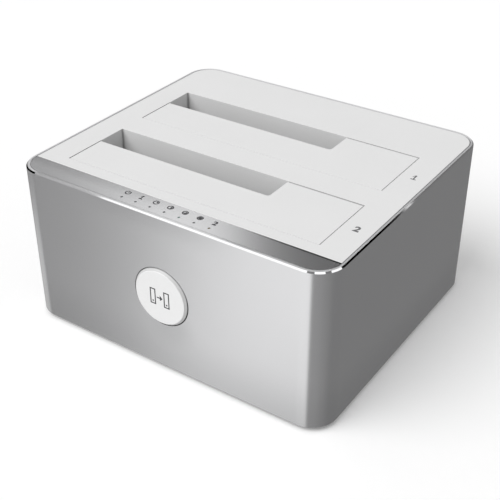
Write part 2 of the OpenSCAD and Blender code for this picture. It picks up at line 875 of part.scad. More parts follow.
// Tab on the right of a flap that catches under the cover
module stop_tab() {
    low = -cover_t - stop_gap - stop_t;
    root = flap_w / 2 - stop_root;
    box([root, stop_y, low], [flap_w / 2, stop_y + stop_l, -cover_t]);
    box([root, stop_y, low], [slot_w / 2 + stop_reach, stop_y + stop_l, -cover_t - stop_gap]);
}

module flap(bay) {
    color("white")
        translate([0, flap_y(bay), z_top]) {
            translate([0, 0, -cover_t])
                linear_extrude(cover_t)
                    flap_outline();
            flap_ribs();
            for (x = [-knuckle_x, knuckle_x])
                translate([0, -pin_back, -pin_drop])
                    knuckle(x);
            for (side = [0, 1])
                mirror([side, 0, 0])
                    stop_tab();
        }
}

module front_flap() {
    flap(0);
}

module rear_flap() {
    flap(1);
}

module hinge_pin(bay) {
    color("lightsteelblue")
        translate([0, pin_y(bay), z_pin])
            cross_rod(0, pin_l, pin_r);
}

module front_hinge_pin() {
    hinge_pin(0);
}

module rear_hinge_pin() {
    hinge_pin(1);
}

// Path of a torsion spring about its pin: a leg under the cover, the turns, and a leg under the flap
spring_path = concat(
    [for (i = [0 : leg_steps - 1]) [0, leg_l * (i / leg_steps - 1), coil_r]],
    [for (i = [0 : coil_turns * coil_steps])
        let (turn = 360 * i / coil_steps)
        [coil_pitch * i / coil_steps, coil_r * sin(turn), coil_r * cos(turn)]],
    [for (i = [1 : leg_steps]) [coil_l, leg_l * i / leg_steps, coil_r]]);

// Least gap between parts of the wire that lie more than half a turn apart
spring_gap = min([
    for (i = [0 : len(spring_path) - 1])
        for (j = [i + coil_steps / 2 : 1 : len(spring_path) - 1])
            norm(spring_path[i] - spring_path[j])
]) - wire_d;
echo(spring_gap = spring_gap);

function unit(v) = v / norm(v);

function path_way(path, i) = unit(path[min(i + 1, len(path) - 1)] - path[max(i - 1, 0)]);

function tube_ring(path, i, r, sides) =
    let (way = path_way(path, i))
    let (out = unit(cross([1, 0, 0], way)))
    let (side = cross(way, out))
    [for (k = [0 : sides - 1]) path[i] + r * (cos(360 * k / sides) * out + sin(360 * k / sides) * side)];

// Round wire along a path that never runs along x
module tube(path, r, sides) {
    last = len(path) - 1;
    points = [for (i = [0 : last]) each tube_ring(path, i, r, sides)];
    faces = concat(
        [for (i = [0 : last - 1], k = [0 : sides - 1])
            [i * sides + k, (i + 1) * sides + k, (i + 1) * sides + (k + 1) % sides]],
        [for (i = [0 : last - 1], k = [0 : sides - 1])
            [i * sides + k, (i + 1) * sides + (k + 1) % sides, i * sides + (k + 1) % sides]],
        [for (k = [1 : sides - 2]) [0, k, k + 1]],
        [for (k = [1 : sides - 2]) [last * sides, last * sides + k + 1, last * sides + k]]);
    polyhedron(points, faces);
}

module flap_spring(bay) {
    color("silver")
        translate([coil_x, pin_y(bay), z_pin])
            tube(spring_path, wire_d / 2, wire_sides);
}

module front_flap_spring() {
    flap_spring(0);
}

module rear_flap_spring() {
    flap_spring(1);
}

// Open-topped well with a floor, and a screw tab at each side
module drive_well(bay) {
    front = well_y(bay);
    rear = bay_rear_y(bay);
    color("whitesmoke")
        difference() {
            union() {
                box([-well_w / 2, front - well_wall, z_floor], [well_w / 2, rear + well_wall, z_well_top]);
                box([-well_boss_x, bay_mid_y(bay) - well_boss_r, z_floor],
                    [well_boss_x, bay_mid_y(bay) + well_boss_r, z_seat]);
                at_well_tabs(bay)
                    translate([0, 0, z_floor])
                        cylinder(h = floor_t, r = well_boss_r);
            }
            box([-slot_w / 2, front, z_seat], [slot_w / 2, rear, z_well_top + cut]);
            box([socket_x - socket_gap, socket_y(bay) - socket_gap, z_floor - cut],
                [socket_x + socket_l + socket_gap, socket_y(bay) + socket_w + socket_gap, z_seat + cut]);
            at_well_tabs(bay)
                translate([0, 0, z_floor - cut])
                    cylinder(h = floor_t + 2 * cut, r = screw_r + screw_play);
            if (bay == 0)
                at_guide_ears()
                    translate([0, -cut, 0])
                        back_rod(cut + guide_bite + screw_play, small_screw_r + screw_play / 2);
        }
}

module front_drive_well() {
    drive_well(0);
}

module rear_drive_well() {
    drive_well(1);
}

module well_screws() {
    color("gray")
        for (bay = [0, 1])
            at_well_tabs(bay)
                translate([0, 0, z_seat])
                    large_screw(well_screw_l);
}

// Socket with one slot for a drive's signal tongue and one for its power tongue
module sata_socket(bay) {
    z_face = z_board_top + socket_h;
    mid = socket_y(bay) + socket_w / 2;
    color("dimgray")
        difference() {
            box([socket_x, socket_y(bay), z_board_top],
                [socket_x + socket_l, socket_y(bay) + socket_w, z_face]);
            for (i = [0, 1])
                box([tongue_x(i), mid - tongue_slot_w / 2, z_face - tongue_slot_h],
                    [tongue_x(i) + tongue_l(i), mid + tongue_slot_w / 2, z_face + cut]);
        }
}

module front_sata_socket() {
    sata_socket(0);
}

module rear_sata_socket() {
    sata_socket(1);
}

module sata_contacts(bay) {
    z_face = z_board_top + socket_h;
    wall = socket_y(bay) + (socket_w + tongue_slot_w) / 2;
    color("gold")
        translate([-contact_w / 2, wall - contact_t, z_face - tongue_slot_h])
            for (i = [0, 1], k = [1 : contact_counts[i]])
                translate([tongue_x(i) + k * contact_pitch, 0, 0])
                    cube([contact_w, contact_t, tongue_slot_h - contact_sink]);
}

module front_sata_contacts() {
    sata_contacts(0);
}

module rear_sata_contacts() {
    sata_contacts(1);
}

module main_board() {
    color("darkgreen")
        difference() {
            box([-board_w / 2, board_front, z_board], [board_w / 2, board_back, z_board_top]);
            at_board_holes()
                translate([0, 0, z_board - cut])
                    cylinder(h = board_t + 2 * cut, r = screw_r + screw_play);
        }
}

module board_chips() {
    color("black")
        for (chip = chips)
            translate([chip[0] - chip[2] / 2, chip_y + chip[1] - chip[3] / 2, z_board_top])
                cube([chip[2], chip[3], chip[4]]);
}

module board_capacitors() {
    color("slategray")
        for (side = [-1, 1], i = [0, 1])
            translate([side * (capacitor_x - i * capacitor_pitch), capacitor_y, z_board_top])
                cylinder(h = capacitor_h, r = capacitor_r);
}

module board_screws() {
    color("gray")
        at_board_holes()
            translate([0, 0, z_board_top])
                large_screw(board_screw_l);
}

module ribbon_headers() {
    color("ivory")
        for (place = [[ribbon_x, ribbon_y], [0, switch_ribbon_y]])
            translate([place[0] - header[0] / 2, place[1] - header[1] / 2, z_board_top])
                cube(header);
}

// Half outline of the button about its axis, with the sleeve's front face at height 0
module button_outline() {
    back = -sleeve_wall - flange_gap - flange_t;
    face_r = button_r - button_draft;
    difference() {
        union() {
            translate([0, back])
                square([button_r, -back]);
            polygon([[0, 0], [button_r, 0], [face_r, button_rise - button_edge], [0, button_rise - button_edge]]);
            square([face_r - button_edge, button_rise]);
            translate([face_r - button_edge, button_rise - button_edge])
                circle(button_edge);
            translate([0, back])
                square([flange_r, flange_t]);
        }
        translate([stem_r, back - cut])
            square([button_r - button_wall - stem_r, button_rise - button_t - back + cut]);
    }
    translate([0, y_front - y_stem])
        square([stem_r, y_stem - y_front]);
}

module clone_button() {
    color("white")
        at_button()
            rotate([90, 0, 0])
                rotate_extrude()
                    button_outline();
}

module switch_plunger() {
    color("black")
        translate([0, y_stem, z_button])
            back_rod(plunger_out + plunger_in, plunger_r);
}

module clone_switch() {
    color("dimgray")
        difference() {
            box([-switch_w / 2, y_switch, z_button - switch_w / 2],
                [switch_w / 2, y_switch_board, z_button + switch_w / 2]);
            translate([0, y_switch - cut, z_button])
                back_rod(cut + plunger_in + button_travel + plunger_play, plunger_r + plunger_play);
        }
}

module switch_board() {
    color("darkgreen")
        box([-switch_board_w / 2, y_switch_board, z_button - switch_board_w / 2],
            [switch_board_w / 2, y_well_face, z_button + switch_board_w / 2]);
}

module switch_ribbon() {
    color("lightgray")
        box([-ribbon_w / 2, switch_ribbon_y - ribbon_t / 2, z_board_top + header[2]],
            [ribbon_w / 2, switch_ribbon_y + ribbon_t / 2, z_button - switch_w / 2 - ribbon_gap]);
}

// Ring between the sleeve and the front well that the button's flange slides in
module button_guide() {
    depth = y_well_face - y_room;
    ribbon_side = ribbon_w / 2 + ribbon_gap;
    color("whitesmoke")
        difference() {
            union() {
                translate([0, y_room, z_button])
                    back_rod(depth, guide_out_r);
                box([-ear_x, y_well_face - ear_t, z_button - ear_r],
                    [ear_x, y_well_face, z_button + ear_r]);
                at_guide_ears()
                    translate([0, -ear_t, 0])
                        back_rod(ear_t, ear_r);
            }
            translate([0, y_room - cut, z_button])
                back_rod(depth + 2 * cut, guide_in_r);
            at_guide_ears()
                translate([0, -ear_t - cut, 0])
                    back_rod(ear_t + 2 * cut, small_screw_r + screw_play);
            box([-ribbon_side, y_switch_board - ribbon_t - ribbon_gap, z_button - guide_out_r - cut],
                [ribbon_side, y_well_face + cut, z_button]);
        }
}

module guide_screws() {
    color("gray")
        at_guide_ears()
            translate([0, -ear_t, 0])
                rotate([90, 0, 0])
                    small_screw();
}

// Hole in the rear panel for a port that stands on the main board
module port_hole(x, w, h) {
    box([x - w / 2 - port_gap, y_back - sleeve_wall - panel_lip_t - cut, z_board_top - port_gap],
        [x + w / 2 + port_gap, y_back + cut, z_board_top + h + port_gap]);
}

module rear_port_panel() {
    inner = y_back - sleeve_wall;
    color("dimgray")
        difference() {
            translate([0, 0, panel_z + panel_h / 2]) {
                translate([0, inner, 0])
                    rotate([-90, 0, 0])
                        rounded_plate(panel_w, panel_h, sleeve_wall, panel_r);
                translate([0, inner - panel_lip_t, 0])
                    rotate([-90, 0, 0])
                        linear_extrude(panel_lip_t)
                            rounded_rect(panel_w + 2 * panel_lip, panel_h + 2 * panel_lip, panel_r);
            }
            port_hole(usb_x, usb_size[0], usb_size[2]);
            port_hole(inlet_x, inlet_size[0], inlet_size[2]);
            port_hole(rocker_x, housing_w, housing_h);
        }
}

module usb_socket() {
    low_z = z_board_top + usb_wall;
    color("lightgray")
        difference() {
            box([usb_x - usb_size[0] / 2, y_port - usb_size[1], z_board_top],
                [usb_x + usb_size[0] / 2, y_port, z_board_top + usb_size[2]]);
            box([usb_x - usb_low[0] / 2, y_port - usb_mouth, low_z],
                [usb_x + usb_low[0] / 2, y_port + cut, low_z + usb_low[1]]);
            box([usb_x - usb_high[0] / 2, y_port - usb_mouth, low_z + usb_low[1] - cut],
                [usb_x + usb_high[0] / 2, y_port + cut, low_z + usb_low[1] + usb_high[1]]);
        }
}

module usb_tongue() {
    low_mid = z_board_top + usb_wall + usb_low[1] / 2;
    high_mid = z_board_top + usb_wall + usb_low[1] + usb_high[1] / 2;
    color("royalblue") {
        box([usb_x - usb_low_tongue[0] / 2, y_port - usb_mouth, low_mid - usb_low_tongue[1] / 2],
            [usb_x + usb_low_tongue[0] / 2, y_port - usb_tongue_sink, low_mid + usb_low_tongue[1] / 2]);
        box([usb_x - usb_high_tongue[0] / 2, y_port - usb_mouth, high_mid - usb_high_tongue[1] / 2],
            [usb_x + usb_high_tongue[0] / 2, y_port - usb_tongue_sink, high_mid + usb_high_tongue[1] / 2]);
    }
}

module power_inlet() {
    color("black")
        difference() {
            box([inlet_x - inlet_size[0] / 2, y_port - inlet_size[1], z_board_top],
                [inlet_x + inlet_size[0] / 2, y_port, z_board_top + inlet_size[2]]);
            translate([inlet_x, y_port - inlet_depth, z_inlet])
                back_rod(inlet_depth + cut, inlet_r);
        }
}

module inlet_pin() {
    color("silver")
        translate([inlet_x, y_port - inlet_depth, z_inlet])
            back_rod(inlet_depth - inlet_pin_sink, inlet_pin_r);
}

module rocker_housing() {
    color("black")
        difference() {
            translate([rocker_x, 0, z_rocker]) {
                box([-housing_w / 2, y_back - rocker_depth, -housing_h / 2],
                    [housing_w / 2, y_back, housing_h / 2]);
                box([-housing_w / 2 - rocker_lip, y_back, -housing_h / 2 - rocker_lip],
                    [housing_w / 2 + rocker_lip, y_back + rocker_lip_t, housing_h / 2 + rocker_lip]);
            }
            translate([rocker_x, y_pivot, z_rocker]) {
                box([-cavity_w / 2, -rocker_back - 2 * rocker_gap, -cavity_h / 2],
                    [cavity_w / 2, pivot_depth + cut, cavity_h / 2]);
                cross_rod(0, housing_w + 2 * cut, pivot_r + pivot_play);
            }
        }
}

// Rocker with its lower half pressed in, on two short pivots
module power_rocker() {
    half = rocker_h / 2;
    heel = rocker_heel / 2;
    side = rocker_end - rocker_side;
    color("black")
        translate([rocker_x, y_pivot, z_rocker])
            rotate([-rocker_tilt, 0, 0]) {
                side_profile(0, rocker_w)
                    polygon([
                        [rocker_end, -half], [rocker_mid, 0], [rocker_end, half], [side, half],
                        [-rocker_back, heel], [-rocker_back, -heel], [side, -half]
                    ]);
                cross_rod(0, rocker_w + 2 * rocker_gap + rocker_wall, pivot_r);
            }
}

module vent_slot() {
    square([vent_w, vent_l - vent_w], center = true);
    for (end = [-1, 1])
        translate([0, end * (vent_l - vent_w) / 2])
            circle(vent_w / 2);
}

module base_cover() {
    color("dimgray")
        difference() {
            union() {
                translate([0, 0, z_base])
                    rounded_plate(plate_w, plate_d, base_t, plate_r);
                translate([0, 0, z_base_top])
                    difference() {
                        rounded_plate(room_w - 2 * seam, room_d - 2 * seam, rim_h, room_r - seam);
                        translate([0, 0, -cut])
                            linear_extrude(rim_h + 2 * cut)
                                rounded_rect(room_w - 2 * rim_w, room_d - 2 * rim_w, room_r - rim_w);
                    }
                at_board_holes()
                    translate([0, 0, z_base])
                        cylinder(h = base_t + standoff_h, r = standoff_r);
                at_posts()
                    translate([0, 0, z_base])
                        cylinder(h = base_t + standoff_h, r = base_boss_r);
                for (bay = [0, 1])
                    at_well_tabs(bay)
                        translate([0, 0, z_base])
                            cylinder(h = z_floor - z_base, r = well_boss_r);
            }
            at_posts() {
                translate([0, 0, z_base - cut])
                    cylinder(h = z_head - z_base + cut, r = screw_head_r + 2 * screw_play);
                translate([0, 0, z_base])
                    cylinder(h = base_t + standoff_h + cut, r = screw_r + screw_play);
            }
            at_board_holes()
                translate([0, 0, z_board_top - board_screw_l - screw_play])
                    cylinder(h = board_screw_l + cut, r = screw_r + screw_play / 2);
            for (bay = [0, 1])
                at_well_tabs(bay)
                    translate([0, 0, z_seat - well_screw_l - screw_play])
                        cylinder(h = well_screw_l + cut, r = screw_r + screw_play / 2);
            at_feet()
                translate([0, 0, z_base - cut])
                    cylinder(h = foot_sink + cut, r = foot_r + seam);
            for (i = [0 : vent_count - 1])
                translate([(i - (vent_count - 1) / 2) * vent_pitch, 0, z_base - cut])
                    linear_extrude(base_t + 2 * cut)
                        vent_slot();
        }
}

module base_screws() {
    color("gray")
        at_posts()
            translate([0, 0, z_head])
                mirror([0, 0, 1])
                    large_screw(base_screw_l);
}

module rubber_feet() {
    color("dimgray")
        at_feet()
            rotate_extrude() {
                square([foot_r - foot_edge, foot_h + foot_sink]);
                translate([0, foot_edge])
                    square([foot_r, foot_h + foot_sink - foot_edge]);
                translate([foot_r - foot_edge, foot_edge])
                    circle(foot_edge);
            }
}

aluminium_sleeve();
top_cover();
indicator_strip();
light_guide();
indicator_board();
indicator_leds();
indicator_screws();
indicator_ribbon();
front_flap();
rear_flap();
front_hinge_pin();
rear_hinge_pin();
front_flap_spring();
rear_flap_spring();
front_drive_well();
rear_drive_well();
well_screws();
front_sata_socket();
rear_sata_socket();
front_sata_contacts();
rear_sata_contacts();
main_board();
board_chips();
board_capacitors();
board_screws();
ribbon_headers();
clone_button();
switch_plunger();
clone_switch();
switch_board();
switch_ribbon();
button_guide();
guide_screws();
rear_port_panel();
usb_socket();
usb_tongue();
power_inlet();
inlet_pin();
rocker_housing();
power_rocker();
base_cover();
base_screws();
rubber_feet();
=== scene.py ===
# %% [markdown]
# Drive dock, dressed in Blender
#
# The packed CAD model gives every solid its shape and its place, in metres, with the front wall at
# minus Y and the floor at zero. This script leaves those solids where they are. It adds a camera, a
# studio, the finish of every piece, and the small pieces that are easier to draw than to machine.

# %% Load the packed dock
import json
import math

import bmesh
import bpy
from mathutils import Matrix, Vector

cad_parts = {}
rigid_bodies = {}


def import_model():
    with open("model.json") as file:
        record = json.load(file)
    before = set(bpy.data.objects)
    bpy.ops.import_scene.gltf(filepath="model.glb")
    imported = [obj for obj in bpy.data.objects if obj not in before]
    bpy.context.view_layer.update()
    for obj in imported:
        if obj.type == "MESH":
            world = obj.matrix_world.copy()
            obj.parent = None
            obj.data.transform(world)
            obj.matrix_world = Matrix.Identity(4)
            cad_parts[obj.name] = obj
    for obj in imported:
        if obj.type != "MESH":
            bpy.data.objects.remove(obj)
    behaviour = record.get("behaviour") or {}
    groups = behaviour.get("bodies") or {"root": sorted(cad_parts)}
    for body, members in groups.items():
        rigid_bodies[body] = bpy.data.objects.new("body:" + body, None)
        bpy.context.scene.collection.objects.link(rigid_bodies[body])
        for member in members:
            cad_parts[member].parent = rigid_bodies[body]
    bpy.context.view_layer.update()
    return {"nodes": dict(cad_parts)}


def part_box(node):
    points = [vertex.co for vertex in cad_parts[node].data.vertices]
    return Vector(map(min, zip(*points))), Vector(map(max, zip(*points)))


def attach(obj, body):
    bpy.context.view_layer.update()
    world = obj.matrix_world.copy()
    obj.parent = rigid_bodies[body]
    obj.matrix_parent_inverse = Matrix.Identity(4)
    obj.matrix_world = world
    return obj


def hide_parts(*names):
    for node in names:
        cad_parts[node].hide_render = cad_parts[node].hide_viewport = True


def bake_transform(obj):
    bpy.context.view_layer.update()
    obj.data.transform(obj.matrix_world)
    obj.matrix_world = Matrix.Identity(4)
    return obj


for leftover in list(bpy.data.objects):
    bpy.data.objects.remove(leftover)
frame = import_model()
nodes = frame["nodes"]
scene = bpy.context.scene
MM = 0.001

# %% [markdown]
# The camera stands where the photograph was taken from. Its place, its turn and its lens were solved
# from the straight edges of the sleeve and of the drive openings, so they are numbers here and
# nothing is framed by eye. The picture is square, so the lens follows from the sensor's width.

# %% Camera
CAMERA_PLACE = Vector((174.38, -259.58, 221.15)) * MM
CAMERA_AZIMUTH, CAMERA_ELEVATION, CAMERA_ROLL = math.radians(34.19), math.radians(32.69), -0.00266
CAMERA_LENS, CLIP_NEAR, CLIP_FAR = 69.47, 0.01, 100
camera = bpy.data.objects.new("camera", bpy.data.cameras.new("camera"))
scene.collection.objects.link(camera)
camera.data.lens = CAMERA_LENS
camera.data.clip_start, camera.data.clip_end = CLIP_NEAR, CLIP_FAR
back = Vector((
    math.sin(CAMERA_AZIMUTH) * math.cos(CAMERA_ELEVATION),
    -math.cos(CAMERA_AZIMUTH) * math.cos(CAMERA_ELEVATION),
    math.sin(CAMERA_ELEVATION),
))
level = Vector((math.cos(CAMERA_AZIMUTH), math.sin(CAMERA_AZIMUTH), 0))
right = Matrix.Rotation(CAMERA_ROLL, 3, back) @ level
turn = Matrix((right, back.cross(right), back)).transposed()
camera.matrix_world = Matrix.Translation(CAMERA_PLACE) @ turn.to_4x4()
scene.camera = camera
print("camera", tuple(round(v, 4) for v in CAMERA_PLACE), "lens", CAMERA_LENS)

# %% [markdown]
# Shader sums get hard to read when every Math node is made by hand. This class wraps one socket, so
# that Python's own plus, minus and times add the nodes. Every other node comes from its node method,
# which sets the node's own settings first and then fills or links its sockets.

# %% Sums on sockets
class Wire:
    """One socket of a node tree that Python's operators can do sums with."""

    def __init__(self, tree, socket=None):
        self.tree, self.socket = tree, socket

    def node(self, kind, settings=None, sockets=None, out=0):
        """Any node: its type, its settings, and the values or links of its sockets."""
        made = self.tree.nodes.new(kind)
        for name, value in (settings or {}).items():
            setattr(made, name, value)
        for key, value in (sockets or {}).items():
            if isinstance(value, Wire):
                self.tree.links.new(value.socket, made.inputs[key])
            else:
                made.inputs[key].default_value = value
        return Wire(self.tree, made.outputs[out] if made.outputs else None)

    def sum(self, operation, a, b=0.0):
        """A Math node on one or two values."""
        return self.node("ShaderNodeMath", {"operation": operation}, {0: a, 1: b})

    def __add__(self, other):
        return self.sum("ADD", self, other)

    def __radd__(self, other):
        return self.sum("ADD", other, self)

    def __sub__(self, other):
        return self.sum("SUBTRACT", self, other)

    def __rsub__(self, other):
        return self.sum("SUBTRACT", other, self)

    def __mul__(self, other):
        return self.sum("MULTIPLY", self, other)

    def __rmul__(self, other):
        return self.sum("MULTIPLY", other, self)

    def step(self, low, high):
        """0 below low, 1 above high, and a smooth rise between them."""
        return self.node("ShaderNodeMapRange", {"interpolation_type": "SMOOTHSTEP"},
                         {0: self, 1: low, 2: high, 3: 0.0, 4: 1.0})

    def window(self, low, high, soft):
        """1 between low and high, with edges that fade over soft on each side."""
        return self.step(low - soft, low + soft) * (1 - self.step(high - soft, high + soft))

    def mix(self, low, high):
        """From one colour to another as this value goes from 0 to 1."""
        colours = {0: self}
        for key, colour in ((6, low), (7, high)):
            colours[key] = colour if isinstance(colour, Wire) else (*colour, 1)
        return self.node("ShaderNodeMix", {"data_type": "RGBA"}, colours, out=2)

    def parts(self):
        """The three numbers of a vector."""
        split = self.node("ShaderNodeSeparateXYZ", {}, {0: self}).socket.node
        return [Wire(self.tree, out) for out in split.outputs]

    def noise(self, size, detail=2.0):
        """Cloudy noise from 0 to 1 whose blots are about size metres across."""
        return self.node("ShaderNodeTexNoise", {},
                         {"Vector": self, "Scale": 1 / size, "Detail": detail})


def place_on(tree):
    """Where a point lies on the object, in metres."""
    return Wire(tree).node("ShaderNodeTexCoord", out="Object")


print("a wire does", ", ".join(name for name in vars(Wire) if not name.startswith("_")))

# %% [markdown]
# The studio. The photograph has a plain white ground and a flat, even light, so the world is a white
# dome and one very wide lamp from the front left gives the walls of the slots their shades. The floor
# is a pale sheet that takes the dock's soft shadow.

# %% Floor and light
scene.view_settings.view_transform = "Standard"
DOME_LIGHT, FLOOR_GREY, FLOOR_LIFT, FLOOR_REACH = 0.50, 0.92, 0.11, 20
LAMP_LIGHT, LAMP_SPREAD = 1.95, math.radians(50)
LAMP_TILT, LAMP_TURN = math.radians(40), math.radians(-30)


def light_paths(tree, *kinds):
    """How many of these kinds a ray is, as a wire."""
    paths = Wire(tree).node("ShaderNodeLightPath").socket.node.outputs
    wires = [Wire(tree, paths["Is " + kind + " Ray"]) for kind in kinds]
    return sum(wires[1:], wires[0])


world = bpy.data.worlds.new("white_dome")
world.use_nodes = True
scene.world = world
seen = light_paths(world.node_tree, "Camera", "Glossy", "Transmission")
dome = world.node_tree.nodes["Background"]
dome.inputs["Color"].default_value = (1, 1, 1, 1)
dome_light = DOME_LIGHT + (1 - DOME_LIGHT) * seen.step(0, 1)
world.node_tree.links.new(dome_light.socket, dome.inputs["Strength"])


def stage_piece(name, mesh):
    """An object of the studio with a material whose nodes are still to be made."""
    piece = bpy.data.objects.new(name, mesh)
    scene.collection.objects.link(piece)
    material = bpy.data.materials.new(name)
    material.use_nodes = True
    mesh.materials.append(material)
    return piece, material


floor_mesh = bpy.data.meshes.new("floor")
corners = [(x * FLOOR_REACH, y * FLOOR_REACH, 0) for x, y in ((-1, -1), (1, -1), (1, 1), (-1, 1))]
floor_mesh.from_pydata(corners, [], [(0, 1, 2, 3)])
floor, floor_paint = stage_piece("floor", floor_mesh)
floor_shader = floor_paint.node_tree.nodes["Principled BSDF"]
floor_shader.inputs["Base Color"].default_value = (FLOOR_GREY, FLOOR_GREY, FLOOR_GREY, 1)
floor_shader.inputs["Roughness"].default_value = 1
floor_shader.inputs["Specular IOR Level"].default_value = 0
floor_shader.inputs["Emission Color"].default_value = (1, 1, 1, 1)
floor_lift = FLOOR_LIFT * light_paths(floor_paint.node_tree, "Camera")
floor_paint.node_tree.links.new(floor_lift.socket, floor_shader.inputs["Emission Strength"])
floor_paint.cycles.emission_sampling = "NONE"
floor.visible_glossy = False

lamp = bpy.data.objects.new("wide_lamp", bpy.data.lights.new("wide_lamp", "SUN"))
lamp.data.energy, lamp.data.angle = LAMP_LIGHT, LAMP_SPREAD
lamp.rotation_euler = (LAMP_TILT, 0, LAMP_TURN)
scene.collection.objects.link(lamp)
print("dome", DOME_LIGHT, "lamp", LAMP_LIGHT)

# %% [markdown]
# What satin metal looks like is mostly what stands round it. A photographer puts soft boxes and dark
# flags round such a box until each wall has a clean gradient. Here they are painted on a large tent
# that only mirror-like rays can see. Each row of the table is one soft box or flag, in degrees: where
# it starts and ends round the dock, from the front towards the left, and how soft these ends are;
# where it starts and ends above the horizon, and how soft; how far it leans for each degree up; and
# how much light it adds, which is less than nothing for a flag. The ends of a leaning one are given
# for a level well below the horizon. The floor is left out of these reflections, as it is in the
# photograph.

# %% Table of soft boxes and flags
SOFT_BOXES = [
    # front wall and front corners, from its main box to the edges at the left and the bottom
    (-12.3, 39.6, 5.6, -42.4, -5, 4.0, 0.127, 0.745),
    (30, 71, 6, -60, -5, 6, 0, 0.063),
    (-56, -8, 16, -75, -5, 6, 0, 0.045),
    (-84, -8, 16, -75, -5, 6, 0, 0.05),
    (-14, 31, 3, -60, -38, 2, 0, 0.14),
    (64, 112, 8, -75, -27, 4, 0, 0.39),
    (138, 178, 10, -75, -30, 3, 0, 0.40),
    # indicator strip: two low boxes, a broad box, and a flag that leans over its left
    (136, 145.7, 3.2, 12, 24, 3, 0, 0.80),
    (95, 139, 5, 14, 24, 3, 0, 0.215),
    (105, 145.1, 1.0, 24, 54, 3, 0, 1.03),
    (285, 321, 3, 24, 45, 2, 2.75, -0.89),
    # bevel, from its left front corner round to its rear
    (148, 158, 2, -6, 35, 0.7, 1.352, -0.30),
    (50.7, 56, 0.6, 20, 72, 3, 0, 0.36),
    (11, 50.7, 0.2, 20, 72, 1, 0, 1.15),
    (-92, 13, 3, 35, 72, 3, 0, 0.09),
    (-66.5, -21, 0.6, 20, 72, 1, 0, 1.15),
    (-127.5, -90, 0.6, 8, 72, 1, 0, 1.15),
    (-146.2, -128.5, 0.5, 14, 40, 1, 0, -0.30),
    (-147.25, -146.75, 0.15, 5, 45, 1, 0, 0.90),
    (-178, -147.6, 0.4, 5, 50, 2, 0, 0.08),
]
print(len(SOFT_BOXES), "soft boxes and flags")

# %% [markdown]
# The tent itself is a ball round the dock, with a radius of three metres. The way from the middle to
# a point of it gives the two angles that the table speaks of, and each row becomes a soft window on
# them. The light of all rows is added to a plain floor and sky.

# %% Tent
TENT_RADIUS, TENT_FLOOR, TENT_SKY = 3, 0.215, 0.116
DEGREE = math.radians(1)
HORIZON_LOW, HORIZON_HIGH, LEAN_LEVEL = -5 * DEGREE, 15 * DEGREE, 36 * DEGREE
tent_mesh = bpy.data.meshes.new("tent")
shape = bmesh.new()
bmesh.ops.create_uvsphere(shape, u_segments=48, v_segments=24, radius=TENT_RADIUS)
shape.to_mesh(tent_mesh)
shape.free()
tent, tent_paint = stage_piece("tent", tent_mesh)
tree = tent_paint.node_tree
tree.nodes.clear()
way = place_on(tree)
x, y, z = way.node("ShaderNodeVectorMath", {"operation": "NORMALIZE"}, {0: way}).parts()
round_way = x.sum("ARCTAN2", -1 * x, -1 * y)
up_way = z.sum("ARCSINE", z)
light = TENT_FLOOR + (TENT_SKY - TENT_FLOOR) * up_way.step(HORIZON_LOW, HORIZON_HIGH)
for start, end, soft, low, high, soft_up, lean, strength in SOFT_BOXES:
    across = round_way + lean * (up_way + LEAN_LEVEL) if lean else round_way
    box = across.window(start * DEGREE, end * DEGREE, soft * DEGREE)
    light = light + strength * (box * up_way.window(low * DEGREE, high * DEGREE, soft_up * DEGREE))
light = light.sum("MAXIMUM", light, 0.0)
glow = light.node("ShaderNodeEmission", {}, {"Strength": light})
glow.node("ShaderNodeOutputMaterial", {}, {"Surface": glow})
tent_paint.cycles.emission_sampling = "NONE"
for ray in ("camera", "diffuse", "transmission", "volume_scatter", "shadow"):
    setattr(tent, "visible_" + ray, False)
print("tent of", len(tent_mesh.polygons), "faces, sky", TENT_SKY)

# %% [markdown]
# Finishes. Every moulded or machined surface has a grain too fine to see as shapes and large enough
# to break up a reflection. One function makes them all: a colour with a faint cloud in it, a
# roughness that follows the grain, and a bump of a few thousandths of a millimetre.

# %% Finishes
CLOUD_SIZE, ROUGH_PLAY, BUMP_STRENGTH = 22 * MM, 0.05, 0.5


def finish(name, colour, rough, grain, depth, cloud=0.02, **plain):
    """A procedural finish, with its grain and its depth in millimetres.

    Returns the material, its shader and the place on the object.
    """
    material = bpy.data.materials.new(name)
    material.use_nodes = True
    tree = material.node_tree
    shader = tree.nodes["Principled BSDF"]
    place = place_on(tree)
    fine = place.noise(grain * MM, 3.0)
    blots = place.noise(CLOUD_SIZE)
    shade = blots.mix(times(colour, 1 - cloud), times(colour, 1 + cloud))
    play = rough - ROUGH_PLAY + 2 * ROUGH_PLAY * fine
    bump = fine.node("ShaderNodeBump", {},
                     {"Height": fine, "Strength": BUMP_STRENGTH, "Distance": depth * MM})
    for socket, wire in (("Base Color", shade), ("Roughness", play), ("Normal", bump)):
        feed(shader, socket, wire)
    for socket, value in plain.items():
        shader.inputs[socket.replace("_", " ")].default_value = value
    return material, shader, place


def feeding(shader, socket):
    """What already feeds a socket of a shader."""
    return Wire(shader.id_data, shader.inputs[socket].links[0].from_socket)


def feed(shader, socket, wire):
    """Feed a socket of a shader from a wire."""
    shader.id_data.links.new(wire.socket, shader.inputs[socket])


def grey(shade):
    """A colour without a hue."""
    return shade, shade, shade


def times(colour, share):
    """A colour made darker or lighter, never past white."""
    return [min(1, share * c) for c in colour]


def tint(shader, mask, colour):
    """Turn a finish to another colour where a mask is 1."""
    feed(shader, "Base Color", mask.mix(feeding(shader, "Base Color"), colour))


def paint(material, *names):
    """Give CAD nodes a finish."""
    for name in names:
        nodes[name].material_slots[0].material = material


print("clouds in a finish are", round(CLOUD_SIZE / MM), "mm across")

